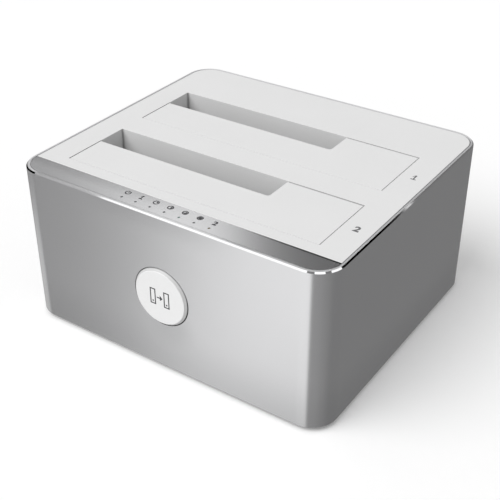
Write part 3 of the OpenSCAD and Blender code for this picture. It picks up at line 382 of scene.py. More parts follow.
# %% [markdown]
# The sleeve is an extruded tube, blasted and anodised to an even satin. Its top edge is then cut to a
# bright bevel and its narrow rim is left rougher than the walls. All three are one solid, so one
# finish holds them, and sums on the place of a point say which of them it lies on: its height gives
# the bevel and the top, and its way in from the outline, a rounded rectangle, gives the inner edge of
# the rim.

# %% Where a point of the sleeve lies
SLEEVE_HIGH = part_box("aluminium_sleeve")[1]
SLEEVE_TOP = SLEEVE_HIGH.z
BEVEL, EDGE, CORNER = 0.5 * MM, 0.01 * MM, 9.8 * MM
FRONT_FADE, REAR_FADE = (-52 * MM, -48 * MM), (50 * MM, 54 * MM)
METAL, SATIN = (0.80, 0.80, 0.81), 0.23
SATIN_METAL = dict(colour=METAL, rough=SATIN, grain=0.16, depth=0.004, cloud=0.012, Metallic=1.0)
sleeve_metal, shader, place = finish("satin_sleeve", **SATIN_METAL)
x, y, height = place.parts()
past_x = x.sum("ABSOLUTE", x) - (SLEEVE_HIGH.x - CORNER)
past_y = y.sum("ABSOLUTE", y) - (SLEEVE_HIGH.y - CORNER)
corner_x, corner_y = (past.sum("MAXIMUM", past, 0.0) for past in (past_x, past_y))
reach = past_x.sum("SQRT", corner_x * corner_x + corner_y * corner_y)
inward = CORNER - reach - past_x.sum("MINIMUM", past_x.sum("MAXIMUM", past_x, past_y), 0.0)
on_top = height.step(SLEEVE_TOP - 2 * EDGE, SLEEVE_TOP - EDGE)
on_bevel = height.step(SLEEVE_TOP - BEVEL - EDGE, SLEEVE_TOP - BEVEL + EDGE) - on_top
at_front, at_rear = 1 - y.step(*FRONT_FADE), y.step(*REAR_FADE)
print("sleeve top at", round(SLEEVE_TOP / MM, 2), "mm")

# %% [markdown]
# The bevel is polished, so its roughness falls and it loses the grain of the walls. The rim is rough
# and reads as a paler, less metallic line, apart from the stretch in front of the strip, which is as
# smooth as the strip. A darker line on the rim's inner edge is painted shade in the seam to the cover.

# %% Bevel and rim
POLISH, RIM, RIM_DULL, REAR_RIM_DULL = 0.05, 0.55, 0.28, 0.40
SMOOTH_FROM, SMOOTH_TO = (-56 * MM, -53 * MM), (22 * MM, 45 * MM)
SEAM_FADE, SEAM_SHADE = (1.08 * MM, 1.2 * MM), (0.5, 0.5, 0.51)
smooth = at_front * x.step(*SMOOTH_FROM) * (1 - x.step(*SMOOTH_TO))
on_rim = on_top * (1 - smooth)
by_cover = inward.step(*SEAM_FADE) * on_rim * (1 - at_front) * (1 - at_rear)
rough = feeding(shader, "Roughness") + (POLISH - SATIN) * on_bevel + (RIM - SATIN) * on_rim
feed(shader, "Roughness", rough)
feed(shader, "Metallic", 1 - RIM_DULL * (on_rim - by_cover) - REAR_RIM_DULL * on_rim * at_rear)
grain = shader.inputs["Normal"].links[0].from_node
feed(grain, "Height", (1 - on_bevel) * feeding(grain, "Height"))
# painted shade along the seam to the cover
tint(shader, by_cover, SEAM_SHADE)
print("bevel", round(BEVEL / MM, 2), "mm high")

# %% [markdown]
# Soft shades. In the photograph the walls get a little darker towards the floor, and so does the front
# wall under the button and just under the bevel, where less light arrives than the lamp and the tent
# give here. These shades are painted into the finish by place. They are weak, so that the sleeve still
# looks like one even metal in another light.

# %% Soft shades on the sleeve
FLOOR_SHADE, FLOOR_FADE = 0.89, (2 * MM, 24 * MM)
UNDER_BUTTON_X, UNDER_BUTTON_Z = 4 * MM, 20 * MM
BUTTON_SHADE, BUTTON_FADE = 0.90, (2 * MM, 12 * MM)
BEVEL_SHADE, BEVEL_SHADE_DEEP = 0.90, 9 * MM
BEVEL_SHADE_FROM, BEVEL_SHADE_TO, BEVEL_SHADE_SOFT = -24 * MM, 22 * MM, 14 * MM
aside, below = x - UNDER_BUTTON_X, height - UNDER_BUTTON_Z
away = x.sum("SQRT", aside * aside + below * below)
tint(shader, at_front * (1 - away.step(*BUTTON_FADE)), times(METAL, BUTTON_SHADE))
below_bevel = at_front * height.step(SLEEVE_TOP - BEVEL_SHADE_DEEP, SLEEVE_TOP)
below_bevel = below_bevel * x.window(BEVEL_SHADE_FROM, BEVEL_SHADE_TO, BEVEL_SHADE_SOFT)
tint(shader, below_bevel * (1 - on_bevel - on_top), times(METAL, BEVEL_SHADE))
tint(shader, 1 - height.step(*FLOOR_FADE), times(METAL, FLOOR_SHADE))
paint(sleeve_metal, "aluminium_sleeve")
print("shades", FLOOR_SHADE, BUTTON_SHADE, BEVEL_SHADE)

# %% [markdown]
# The indicator strip is cut from the same satin metal and lies level with the rim. In the photograph
# it is a little darker along the left half of its rear edge, and the right half has a thin dark line
# there. Both are painted shade, set by place like the shades of the sleeve.

# %% Indicator strip
STRIP_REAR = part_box("indicator_strip")[1].y
REAR_SHADE, REAR_SHADE_DEEP, REAR_SHADE_END = 0.86, 6 * MM, (-12 * MM, 12 * MM)
LINE_WIDE, LINE_START, LINE_SHADE_COLOUR = 0.85 * MM, (24 * MM, 50 * MM), (0.12, 0.12, 0.125)
strip_metal, shader, place = finish("satin_strip", **SATIN_METAL)
x, y, _ = place.parts()
by_rear = y.step(STRIP_REAR - REAR_SHADE_DEEP, STRIP_REAR) * (1 - x.step(*REAR_SHADE_END))
# painted shade along the left half of the rear edge
tint(shader, by_rear, times(METAL, REAR_SHADE))
# painted shade as a thin dark line along the right half of the rear edge
rear_shade_line = y.step(STRIP_REAR - LINE_WIDE, STRIP_REAR - LINE_WIDE / 2) * x.step(*LINE_START)
tint(shader, rear_shade_line, LINE_SHADE_COLOUR)
paint(strip_metal, "indicator_strip")
print("strip ends at", round(STRIP_REAR / MM, 2), "mm")

# %% [markdown]
# The white mouldings. The cover and the flaps come from a spark-eroded mould, which leaves an even
# matt skin. The gap on the left of each flap, the slit behind it and the corner where two walls of a
# slot meet are darker in the photograph than such thin lines come out here, so painted shade darkens
# those walls, each by its own place: sideways from the bay's left wall, back from its rear wall, and
# down from the top.

# %% Cover and flaps
BAY_LEFT, BAY_DEEP, SLOT_DEEP, SLOT_RIGHT = -51.9 * MM, 29.1 * MM, 12.5 * MM, 22.35 * MM
FLAP_REAR_GAP, THIN = 0.75 * MM, 0.1 * MM
# painted shade in the left gap of each flap, in the slit behind it and in the corners of the slots
GAP_FROM, GAP_TO, GAP_SOFT, GAP_SHADE = 0.02 * MM, 0.5 * MM, 0.015 * MM, 0.02
SLIT_FROM, SLIT_TO, SLIT_SOFT, SLIT_SHADE = 0.055 * MM, 0.7 * MM, 0.025 * MM, 0.57
CORNER_WIDE, CORNER_SOFT, CORNER_SHADE = 0.6 * MM, 0.5 * MM, 0.50
CORNER_FROM, CORNER_TO = (0.03 * MM, 0.08 * MM), (11 * MM, 22 * MM)


def bay_places(x, y, height):
    """For each bay: the way from its left wall, from its rear wall and down from the top."""
    for flap in ("front_flap", "rear_flap"):
        yield x - BAY_LEFT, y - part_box(flap)[1].y - FLAP_REAR_GAP, SLEEVE_TOP - height


def shade_corners(shader, place):
    """Paint shade into the corner where the left and rear wall of each slot meet, less further down.
    """
    for left, rear, depth in bay_places(*place.parts()):
        meet = left.window(-CORNER_WIDE, CORNER_WIDE, CORNER_SOFT)
        meet = meet * rear.window(-CORNER_WIDE, CORNER_WIDE, CORNER_SOFT)
        deep = depth.step(*CORNER_FROM) * (1 - depth.step(*CORNER_TO))
        tint(shader, meet * deep, grey(CORNER_SHADE))


white_skin, shader, place = finish("matt_white", grey(0.82), 0.55, 0.20, 0.006)
for left, rear, depth in bay_places(*place.parts()):
    gap = left.window(-THIN, THIN, THIN / 2) * rear.window(-BAY_DEEP, 5 * THIN - SLOT_DEEP, THIN)
    # painted shade deep in the gap on the left of the flap
    tint(shader, gap * depth.window(GAP_FROM, GAP_TO, GAP_SOFT), grey(GAP_SHADE))
    slot_end = SLOT_RIGHT - BAY_LEFT
    slit = rear.window(-THIN, THIN, THIN / 2) * left.step(slot_end, slot_end + 2 * THIN)
    # painted shade deep in the slit behind the flap
    tint(shader, slit * depth.window(SLIT_FROM, SLIT_TO, SLIT_SOFT), grey(SLIT_SHADE))
shade_corners(shader, place)
paint(white_skin, "top_cover", "front_flap", "rear_flap")
print("bays", round(-2 * BAY_LEFT / MM, 1), "x", round(BAY_DEEP / MM, 1), "mm")

# %% [markdown]
# The button comes from a smoother mould than the cover, so it is a little brighter. Its side has
# painted shade, and a thin dark ring of painted shade stands for the shadow of the gap where it meets
# the wall, darkest at the lower right. The depth of a point behind the button's face tells them apart.
# The drive wells are a slightly greyer white than the cover, as painted shade deep in the slots.

# %% Button and wells
# painted shade: the button's side, and a dark ring for the shadow of its gap
CAP_EDGE, CAP_SIDE_SHADE = (0.1 * MM, 0.3 * MM), 0.60
RING_DEEP, RING_SOFT, RING_SHADE, RING_SHADE_DARK = 0.85 * MM, 0.1 * MM, 0.34, 0.06
DARK_FADE = (2 * MM, 14 * MM)
button_low, button_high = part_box("clone_button")
BUTTON_FACE, BUTTON_MIDDLE = button_low.y, (button_low.z + button_high.z) / 2
button_skin, shader, place = finish("button_white", grey(0.815), 0.38, 0.30, 0.003)
x, y, height = place.parts()
depth = y - BUTTON_FACE
lower_right = (x - height + BUTTON_MIDDLE).step(*DARK_FADE)
# colours of the dark ring of painted shade, darkest at the lower right
carrier = lower_right.mix(grey(RING_SHADE), grey(RING_SHADE_DARK))
# painted shade on the button's side
tint(shader, depth.step(*CAP_EDGE), grey(CAP_SIDE_SHADE))
# painted shade of the gap where the button meets the wall
tint(shader, depth.step(RING_DEEP - RING_SOFT, RING_DEEP + RING_SOFT), carrier)
paint(button_skin, "clone_button")
# a greyer white as painted shade deep in the slots
shaded_well_skin, shader, place = finish("well_white", grey(0.76), 0.55, 0.25, 0.008)
# painted shade in the slot corners, as on the cover
shade_corners(shader, place)
paint(shaded_well_skin, "front_drive_well", "rear_drive_well", "button_guide")
print("button carrier", round(RING_DEEP / MM, 2), "mm behind its face")

# %% [markdown]
# The black mouldings are glass-filled plastic, which dries to a dull skin with a little grit in it.
# The feet are softer and duller still. The steel, the nickel and the gold are drawn and plated, so
# their grain is the finest. Each finish is a colour, a roughness, and the size and depth of its grain.

# %% Black plastic, rubber and plated metal
paint(finish("matt_black", (0.025, 0.025, 0.027), 0.5, 0.2, 0.01)[0],
      "base_cover", "rear_port_panel", "front_sata_socket", "rear_sata_socket", "board_chips",
      "clone_switch", "switch_plunger", "power_inlet", "rocker_housing")
paint(finish("rocker_black", (0.035, 0.035, 0.037), 0.36, 0.3, 0.004)[0], "power_rocker")
paint(finish("rubber", grey(0.03), 0.85, 0.15, 0.02)[0], "rubber_feet")
steel = finish("zinc_steel", (0.56, 0.56, 0.57), 0.32, 0.1, 0.004, Metallic=1.0)[0]
paint(steel, "indicator_screws", "well_screws", "board_screws", "guide_screws", "base_screws",
      "front_hinge_pin", "rear_hinge_pin", "front_flap_spring", "rear_flap_spring", "inlet_pin")
paint(finish("nickel", (0.68, 0.67, 0.64), 0.28, 0.1, 0.003, Metallic=1.0)[0], "usb_socket")
gold = finish("gold", (0.83, 0.62, 0.25), 0.25, 0.1, 0.003, Metallic=1.0)[0]
paint(gold, "front_sata_contacts", "rear_sata_contacts")
paint(finish("blue", (0.03, 0.13, 0.45), 0.4, 0.2, 0.006)[0], "usb_tongue")
paint(finish("ivory", (0.76, 0.72, 0.60), 0.45, 0.2, 0.006)[0], "ribbon_headers", "indicator_leds")
print(len(bpy.data.materials), "finishes and stage paints so far")

# %% [markdown]
# A circuit board is glass cloth with copper tracks under a green mask, and tinned holes where a track
# changes sides. Cells of a square-cornered pattern make the tracks: the line between two cells is a
# track. A coarser pattern of round cells puts a hole in the middle of each of its cells.

# %% Circuit boards
MASK, TRACK, TIN = (0.02, 0.12, 0.05), (0.035, 0.20, 0.075), (0.70, 0.68, 0.62)
TRACK_CELL, TRACK_JITTER, TRACK_EDGE = 2.6 * MM, 0.55, (0.06, 0.12)
HOLE_CELL, HOLE_JITTER, HOLE_EDGE = 3.4 * MM, 0.9, (0.07, 0.10)
board, shader, place = finish("solder_mask", MASK, 0.35, 0.4, 0.004)
near, second = (place.node("ShaderNodeTexVoronoi", {"distance": "CHEBYCHEV", "feature": feature},
                           {"Vector": place, "Scale": 1 / TRACK_CELL, "Randomness": TRACK_JITTER})
                for feature in ("F1", "F2"))
hole = place.node("ShaderNodeTexVoronoi", {},
                  {"Vector": place, "Scale": 1 / HOLE_CELL, "Randomness": HOLE_JITTER})
tinned = 1 - hole.step(*HOLE_EDGE)
tint(shader, 1 - (second - near).step(*TRACK_EDGE), TRACK)
tint(shader, tinned, TIN)
feed(shader, "Metallic", tinned)
paint(board, "main_board", "indicator_board", "switch_board")
print("tracks", round(TRACK_CELL / MM, 1), "mm apart")

# %% [markdown]
# A ribbon is a row of wires moulded side by side, so its face is a row of ridges, with painted shade
# in the grooves, and the first wire is red to show which way round it goes. The ridges are a sine
# across the ribbon, counted in wires, which drives both the bump and the colour.

# %% Ribbons
WIRE_PITCH, RIDGE_DEEP, GROOVE_EDGE, RED_END = 1.0 * MM, 0.3 * MM, (0.05, 0.35), (0.95, 1.05)
RIBBON, GROOVE_SHADE, RED = (0.62, 0.63, 0.65), (0.30, 0.30, 0.31), (0.50, 0.05, 0.04)
for node in ("indicator_ribbon", "switch_ribbon"):
    ribbon, shader, place = finish(node, RIBBON, 0.5, 0.2, 0.006)
    wires = (place.parts()[0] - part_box(node)[0].x) * (1 / WIRE_PITCH)
    ridge = wires.sum("ABSOLUTE", wires.sum("SINE", math.pi * wires))
    bump = ridge.node("ShaderNodeBump", {}, {"Height": ridge, "Strength": 1.0, "Distance": RIDGE_DEEP})
    feed(shader, "Normal", bump)
    tint(shader, 1 - wires.step(*RED_END), RED)
    # painted shade in the grooves between the wires
    tint(shader, 1 - ridge.step(*GROOVE_EDGE), GROOVE_SHADE)
    paint(ribbon, node)
print("ribbon wires", round(WIRE_PITCH / MM, 1), "mm apart")

# %% [markdown]
# A capacitor is a drawn can on a black base plate, inside a printed sleeve that leaves the can's top
# bare. The clear light guide looks dark in its holes, apart from the faint colour of the light that
# stands under the fifth and the seventh hole.

# %% Capacitors and light guide
CAN_BARE, CAN_BASE = (0.35 * MM, 0.25 * MM), (0.7 * MM, 0.8 * MM)
SLEEVE_INK, BASE_PLATE = (0.03, 0.04, 0.10), grey(0.02)
can, shader, place = finish("can", (0.62, 0.63, 0.66), 0.35, 0.1, 0.003)
low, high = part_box("board_capacitors")
height = place.parts()[2]
bare = height.step(*(high.z - down for down in CAN_BARE))
tint(shader, 1 - bare, SLEEVE_INK)
tint(shader, 1 - height.step(*(low.z + up for up in CAN_BASE)), BASE_PLATE)
feed(shader, "Metallic", bare)
paint(can, "board_capacitors")
LIGHT_PITCH, TIP_REACH, TIP_SOFT = 6.0, 1.0, 0.2
GREEN_LIGHT, AMBER_LIGHT = (0.11, 0.20, 0.17), (0.21, 0.19, 0.12)
guide, shader, place = finish("smoky_clear", (0.10, 0.11, 0.11), 0.2, 0.3, 0.003)
across = place.parts()[0]
for tip, colour in ((LIGHT_PITCH, GREEN_LIGHT), (3 * LIGHT_PITCH, AMBER_LIGHT)):
    tint(shader, across.window((tip - TIP_REACH) * MM, (tip + TIP_REACH) * MM, TIP_SOFT * MM), colour)
paint(guide, "light_guide")
print("lights", LIGHT_PITCH, "mm apart")

# %% [markdown]
# Softened edges. A moulding has no knife edges: the mould's own corners leave a radius of a little
# under a tenth of a millimetre, and that radius is what catches the light along the slots. The CAD
# solids have plain corners there, so copies of the cover and the flaps stand for them, with only the
# edges of the top face rounded.

# %% Softened cover and flaps
SOFT_EDGE, MERGE = 0.07 * MM, 1e-6
FLAT_ANGLE, SMOOTH_ANGLE, RIM_ANGLE = math.radians(0.2), math.radians(35), 1


def softened(node, body):
    """A copy of a CAD node with the sharp edges of its top face rounded."""
    shape = bmesh.new()
    shape.from_mesh(nodes[node].data)
    bmesh.ops.remove_doubles(shape, verts=shape.verts, dist=MERGE)
    bmesh.ops.dissolve_limit(shape, angle_limit=FLAT_ANGLE, verts=shape.verts, edges=shape.edges)
    top = max(v.co.z for v in shape.verts)
    rim = [e for e in shape.edges if e.is_manifold and e.calc_face_angle() > RIM_ANGLE
           and all(top - v.co.z < EDGE for v in e.verts)]
    bmesh.ops.bevel(shape, geom=rim, offset=SOFT_EDGE, segments=3, profile=0.5, affect="EDGES",
                    clamp_overlap=True)
    mesh = bpy.data.meshes.new(node + "_softened")
    shape.to_mesh(mesh)
    shape.free()
    mesh.materials.clear()
    mesh.materials.append(white_skin)
    mesh.shade_smooth()
    mesh.set_sharp_from_angle(angle=SMOOTH_ANGLE)
    piece = bpy.data.objects.new(node + "_softened", mesh)
    scene.collection.objects.link(piece)
    even = piece.modifiers.new("even", "WEIGHTED_NORMAL")
    even.keep_sharp = True
    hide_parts(node)
    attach(piece, body)
    print(piece.name, len(rim), "edges rounded,", len(mesh.polygons), "faces")


softened("top_cover", "housing")
softened("front_flap", "front_flap")
softened("rear_flap", "rear_flap")

# %% [markdown]
# The flap springs. A torsion spring is one length of wire: a straight leg that rests on the cover, a
# coil round the hinge pin, and a second leg under the flap. It follows a path, so Geometry Nodes draw
# it: a line of points is bent to the path by sums on each point's number, and a round wire is swept
# along it.

# %% Tools for Geometry Nodes
def plain_mesh(made):
    """What an object looks like with its modifiers or its letters, as a plain mesh."""
    return bpy.data.meshes.new_from_object(made.evaluated_get(bpy.context.evaluated_depsgraph_get()))


def node_tree(name, **inputs):
    """A geometry tree with named inputs. Returns the tree and a wire for each input."""
    tree = bpy.data.node_groups.new(name, "GeometryNodeTree")
    tree.interface.new_socket("Geometry", in_out="INPUT", socket_type="NodeSocketGeometry")
    for label, kind in inputs.items():
        tree.interface.new_socket(label, in_out="INPUT", socket_type="NodeSocket" + kind)
    tree.interface.new_socket("Geometry", in_out="OUTPUT", socket_type="NodeSocketGeometry")
    sockets = tree.nodes.new("NodeGroupInput").outputs
    return tree, {label: Wire(tree, sockets[label]) for label in inputs}


def end_tree(wire, material):
    """Realize what a tree has made, give it a material and send it out."""
    real = wire.node("GeometryNodeRealizeInstances", {}, {"Geometry": wire})
    dressed = real.node("GeometryNodeSetMaterial", {}, {"Geometry": real, "Material": material})
    dressed.node("NodeGroupOutput", {}, {"Geometry": dressed})


def grown(tree, **values):
    """The plain mesh that a tree makes with these values of its inputs."""
    carrier = bpy.data.objects.new("carrier", bpy.data.meshes.new("carrier"))
    scene.collection.objects.link(carrier)
    grow = carrier.modifiers.new("grow", "NODES")
    grow.node_group = tree
    for socket in tree.interface.items_tree:
        if socket.in_out == "INPUT" and socket.name in values:
            grow[socket.identifier] = values[socket.name]
    mesh = plain_mesh(carrier)
    bpy.data.objects.remove(carrier)
    return mesh


def joined(name, meshes):
    """One linked piece from several meshes of the same material."""
    shape = bmesh.new()
    for mesh in meshes:
        shape.from_mesh(mesh)
    whole = bpy.data.meshes.new(name)
    shape.to_mesh(whole)
    shape.free()
    whole.materials.append(meshes[0].materials[0])
    piece = bpy.data.objects.new(name, whole)
    scene.collection.objects.link(piece)
    print(name, len(whole.polygons), "faces")
    return piece


print("tools:", ", ".join(tool.__name__ for tool in (node_tree, end_tree, grown, joined)))

# %% [markdown]
# Each spring is five turns of wire a little under half a millimetre thick. The first leg, the coil and
# the last leg are one run of points. On a leg only the way back changes, and on the coil the turn and
# the way along the pin.

# %% Path of a flap spring
SPRING_POINTS, WIRE_SIDES = 240, 10
tree, size = node_tree("torsion_spring", Middle="Vector", Radius="Float", Wire="Float", Turns="Float",
                       Width="Float", Leg="Float")
line = Wire(tree).node("GeometryNodeCurvePrimitiveLine", {}, {"End": (1, 0, 0)})
points = line.node("GeometryNodeResampleCurve", {}, {"Curve": line, "Count": SPRING_POINTS})
index = line.node("GeometryNodeInputIndex")
coil = 2 * math.pi * size["Turns"] * size["Radius"]
run = index * (1 / (SPRING_POINTS - 1)) * (coil + 2 * size["Leg"]) - size["Leg"]
share = run.sum("MINIMUM", run.sum("MAXIMUM", run.sum("DIVIDE", run, coil), 0.0), 1.0)
angle = 2 * math.pi * size["Turns"] * share
legs = run.sum("MINIMUM", run, 0.0) + run.sum("MAXIMUM", run - coil, 0.0)
path = run.node("ShaderNodeCombineXYZ", {}, {
    0: size["Width"] * (share - 0.5),
    1: size["Radius"] * run.sum("SINE", angle) + legs,
    2: size["Radius"] * run.sum("COSINE", angle),
})
path = path.node("ShaderNodeVectorMath", {"operation": "ADD"}, {0: path, 1: size["Middle"]})
bent = points.node("GeometryNodeSetPosition", {}, {"Geometry": points, "Position": path})
round_wire = bent.node("GeometryNodeCurvePrimitiveCircle", {},
                       {"Resolution": WIRE_SIDES, "Radius": size["Wire"]})
swept = bent.node("GeometryNodeCurveToMesh", {},
                  {"Curve": bent, "Profile Curve": round_wire, "Fill Caps": True})
end_tree(swept, steel)
print("spring path of", SPRING_POINTS, "points")

# %% [markdown]
# Both springs come from that tree, each round the middle of its own pin. A spring takes the place of
# its CAD solid.

# %% Flap springs
SPRING = dict(Radius=1.35 * MM, Wire=0.22 * MM, Turns=5.0, Width=5 * MM, Leg=6 * MM)
ROUND_ANGLE = math.radians(40)
for flap in ("front_flap", "rear_flap"):
    low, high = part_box(flap + "_spring")
    pin_low, pin_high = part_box(flap.replace("flap", "hinge_pin"))
    middle = (pin_low + pin_high) / 2
    middle.x = (low.x + high.x) / 2
    spring = joined(flap + "_coil", [grown(tree, Middle=middle, **SPRING)])
    spring.data.shade_smooth()
    spring.data.set_sharp_from_angle(angle=ROUND_ANGLE)
    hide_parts(flap + "_spring")
    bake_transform(spring)

# %% [markdown]
# Printed marks. The strip has a row of small marks above its lights, the cover has a number beside
# each bay, and the button has a sign for copying. Ink is about a hundredth of a millimetre thick, so
# each mark is drawn flat, given that thickness and a root that is sunk in the face, and laid on the
# face that carries it. A stencil collects the flat shapes of one print.

# %% Stencils
INK_SINK, INK_RISE, INK_MERGE = 0.02 * MM, 0.012 * MM, 1e-4
ARC_STEP, DIGIT_BOLD, ONE_HALF_WIDTH, ONE_FLAG_ROOT = 7.5, 0.04, 0.3, 1.3


class Stencil:
    """Flat shapes in millimetres, to be laid on a face as ink."""

    def __init__(self):
        self.shape = bmesh.new()

    def patch(self, points):
        """One face from its corners."""
        self.shape.faces.new([self.shape.verts.new((x, y, 0)) for x, y in points])

    def bar(self, x0, y0, x1, y1):
        """A filled rectangle."""
        self.patch([(x0, y0), (x1, y0), (x1, y1), (x0, y1)])

    def frame(self, x0, y0, x1, y1, line):
        """The outline of a rectangle."""
        self.bar(x0, y0, x1, y0 + line)
        self.bar(x0, y1 - line, x1, y1)
        self.bar(x0, y0 + line, x0 + line, y1 - line)
        self.bar(x1 - line, y0 + line, x1, y1 - line)

    def arc(self, x, y, inner, outer, start, end):
        """Part of a ring, from one clock angle to another in degrees."""
        steps = max(2, round(abs(end - start) / ARC_STEP))
        turns = [math.radians(start + (end - start) * i / steps) for i in range(steps + 1)]
        for a, b in zip(turns, turns[1:]):
            inside = [(inner, b), (inner, a)] if inner else [(0, b)]
            ring = [(outer, a), (outer, b), *inside]
            self.patch([(x + r * math.sin(t), y + r * math.cos(t)) for r, t in ring])

    def one(self, x, y, tall, line):
        """The numeral 1 with a foot and a flag, centred on a point."""
        high, wide = tall / 2, tall * ONE_HALF_WIDTH
        self.bar(x - wide, y - high, x + wide, y - high + line)
        self.bar(x - line / 2, y - high + line, x + line / 2, y + high)
        self.patch([(x - line / 2, y + high), (x - wide, y + high - wide),
                    (x - wide, y + high - wide - line),
                    (x - line / 2, y + high - ONE_FLAG_ROOT * line)])

    def digit(self, text, x, y, tall):
        """A number centred on a point."""
        letters = bpy.data.curves.new("digit", "FONT")
        letters.body, letters.offset = text, DIGIT_BOLD
        written = bpy.data.objects.new("digit", letters)
        scene.collection.objects.link(written)
        mesh = plain_mesh(written)
        bpy.data.objects.remove(written)
        low = Vector([min(v.co[i] for v in mesh.vertices) for i in range(3)])
        high = Vector([max(v.co[i] for v in mesh.vertices) for i in range(3)])
        scale = tall / (high.y - low.y)
        points = [(v.co - (low + high) / 2) * scale + Vector((x, y, 0)) for v in mesh.vertices]
        for polygon in mesh.polygons:
            self.patch([points[i].xy for i in polygon.vertices])

    def lay(self, name, origin, across, up, ink, body):
        """Lay the stencil on a face, by its origin and two directions in it, and let it ride."""
        out = across.cross(up)
        shape = self.shape
        bmesh.ops.remove_doubles(shape, verts=shape.verts, dist=INK_MERGE)
        bmesh.ops.recalc_face_normals(shape, faces=shape.faces)
        for face in shape.faces:
            if face.normal.z < 0:
                face.normal_flip()
        raised = bmesh.ops.extrude_face_region(shape, geom=list(shape.faces))["geom"]
        for vertex in [part for part in raised if isinstance(part, bmesh.types.BMVert)]:
            vertex.co.z = 1
        bmesh.ops.recalc_face_normals(shape, faces=shape.faces)
        for vertex in shape.verts:
            flat = vertex.co
            lift = INK_RISE if flat.z else -INK_SINK
            vertex.co = origin + across * flat.x * MM + up * flat.y * MM + out * lift
        bmesh.ops.recalc_face_normals(shape, faces=shape.faces)
        mesh = bpy.data.meshes.new(name)
        shape.to_mesh(mesh)
        shape.free()
        mesh.materials.append(ink)
        piece = bpy.data.objects.new(name, mesh)
        scene.collection.objects.link(piece)
        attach(piece, body)
        print(name, len(mesh.polygons), "faces")


print("ink stands", round(INK_RISE / MM, 3), "mm proud")

# %% [markdown]
# Seven marks stand above the seven lights. The first is the usual sign for power, the second and the
# last number the drives, and the four between them are quarters of a pie that fills up, for how far
# a copy has got. Text objects could give the numbers, but a plain 1 would look like a stroke at this
# size, so it is drawn with a foot and a flag.

# %% Marks on the strip
X, Y, Z = Vector((1, 0, 0)), Vector((0, 1, 0)), Vector((0, 0, 1))
LIGHTS, MARK_ROW = 7, -48.87 * MM
MARK_TALL, MARK_LINE, POWER_OPEN, POWER_BAR_FOOT = 2.35, 0.42, 38, 0.1
PIE_LINE, PIE_IN = 0.4, 0.5
dark_ink = finish("dark_ink", (0.045, 0.045, 0.05), 0.6, 0.1, 0.002)[0]
marks = Stencil()
places = [LIGHT_PITCH * (i - LIGHTS // 2) for i in range(LIGHTS)]
ring = MARK_TALL / 2
marks.arc(places[0], 0, ring - MARK_LINE, ring, POWER_OPEN, 360 - POWER_OPEN)
marks.bar(places[0] - MARK_LINE / 2, POWER_BAR_FOOT, places[0] + MARK_LINE / 2, ring)
marks.one(places[1], 0, MARK_TALL, MARK_LINE)
for quarter, place in enumerate(places[2:6], 1):
    marks.arc(place, 0, ring - PIE_LINE, ring, 0, 360)
    marks.arc(place, 0, 0, ring - PIE_IN, 0, 90 * quarter)
marks.digit("2", places[6], 0, MARK_TALL)
marks.lay("strip_marks", Vector((0, MARK_ROW, SLEEVE_TOP)), X, Y, dark_ink, "housing")

# %% [markdown]
# Each bay has its number printed on the cover beside the flap, in a softer grey than the marks. The
# numbers are made like the marks and lie at the same height, because the cover's top is level with
# the strip.

# %% Numbers beside the bays
NUMBER_X, REAR_NUMBER_Y, FRONT_NUMBER_Y, NUMBER_TALL, NUMBER_LINE = 57.0, 14.05, -26.85, 3.3, 0.5
grey_ink = finish("grey_ink", (0.16, 0.16, 0.165), 0.6, 0.1, 0.002)[0]
numbers = Stencil()
numbers.one(NUMBER_X, REAR_NUMBER_Y, NUMBER_TALL, NUMBER_LINE)
numbers.digit("2", NUMBER_X, FRONT_NUMBER_Y, NUMBER_TALL)
numbers.lay("bay_numbers", Vector((0, 0, SLEEVE_TOP)), X, Y, grey_ink, "housing")

# %% [markdown]
# The button starts a copy from one drive to the other, and its sign says so: two drives with an arrow
# between them, each with a small lamp near its foot. It is laid on the button's face, so its up is
# the dock's up, and it rides on the button.

# %% Copy sign on the button
SIGN_LINE, DRIVE_IN, DRIVE_OUT, DRIVE_HALF = 0.45, 1.7, 4.1, 3.2
LAMP_X, LAMP_HALF, LAMP_LOW, LAMP_HIGH = 2.9, 0.3, -2.2, -1.6
ARROW_TAIL, ARROW_NECK, ARROW_TIP, ARROW_HALF = -1.2, 0.1, 1.25, 1.1
sign = Stencil()
for side in (-1, 1):
    low, high = sorted((side * DRIVE_IN, side * DRIVE_OUT))
    sign.frame(low, -DRIVE_HALF, high, DRIVE_HALF, SIGN_LINE)
    sign.bar(side * LAMP_X - LAMP_HALF, LAMP_LOW, side * LAMP_X + LAMP_HALF, LAMP_HIGH)
sign.bar(ARROW_TAIL, -SIGN_LINE / 2, ARROW_NECK, SIGN_LINE / 2)
sign.patch([(ARROW_NECK, -ARROW_HALF), (ARROW_TIP, 0), (ARROW_NECK, ARROW_HALF)])
sign.lay("copy_sign", Vector((0, BUTTON_FACE, BUTTON_MIDDLE)), X, Z, dark_ink, "clone_button")

# %% [markdown]
# The rocker's two halves have the usual signs: a ring for off on the half that lies pressed in at
# rest, and a bar for on. They are moulded into the rocker and filled with white, so they ride on it.

# %% Signs on the rocker
ROCKER_FOLD = Vector((-20, 55.602, 16.829)) * MM
ON_FACE_UP = Vector((0, 2.633, 6.517)).normalized()
OFF_DOWN, OFF_INNER, OFF_OUTER = 3.6, 1.15, 1.65
ON_LOW, ON_HIGH, ON_HALF = 1.9, 5.1, 0.25
white_ink = finish("white_ink", grey(0.78), 0.5, 0.1, 0.002)[0]
off_sign = Stencil()
off_sign.arc(0, -OFF_DOWN, OFF_INNER, OFF_OUTER, 0, 360)
off_sign.lay("rocker_off_sign", ROCKER_FOLD, -X, Z, white_ink, "power_rocker")
on_sign = Stencil()
on_sign.bar(-ON_HALF, ON_LOW, ON_HALF, ON_HIGH)
on_sign.lay("rocker_on_sign", ROCKER_FOLD, -X, ON_FACE_UP, white_ink, "power_rocker")

# %% [markdown]
# Contacts. The tongue of the data socket has three rows of gilded strips, stamped from one sheet. A
# row is one strip repeated at an even pitch, which is what instances on a line of points are for, and
# the same tree gives all three rows from other sizes.

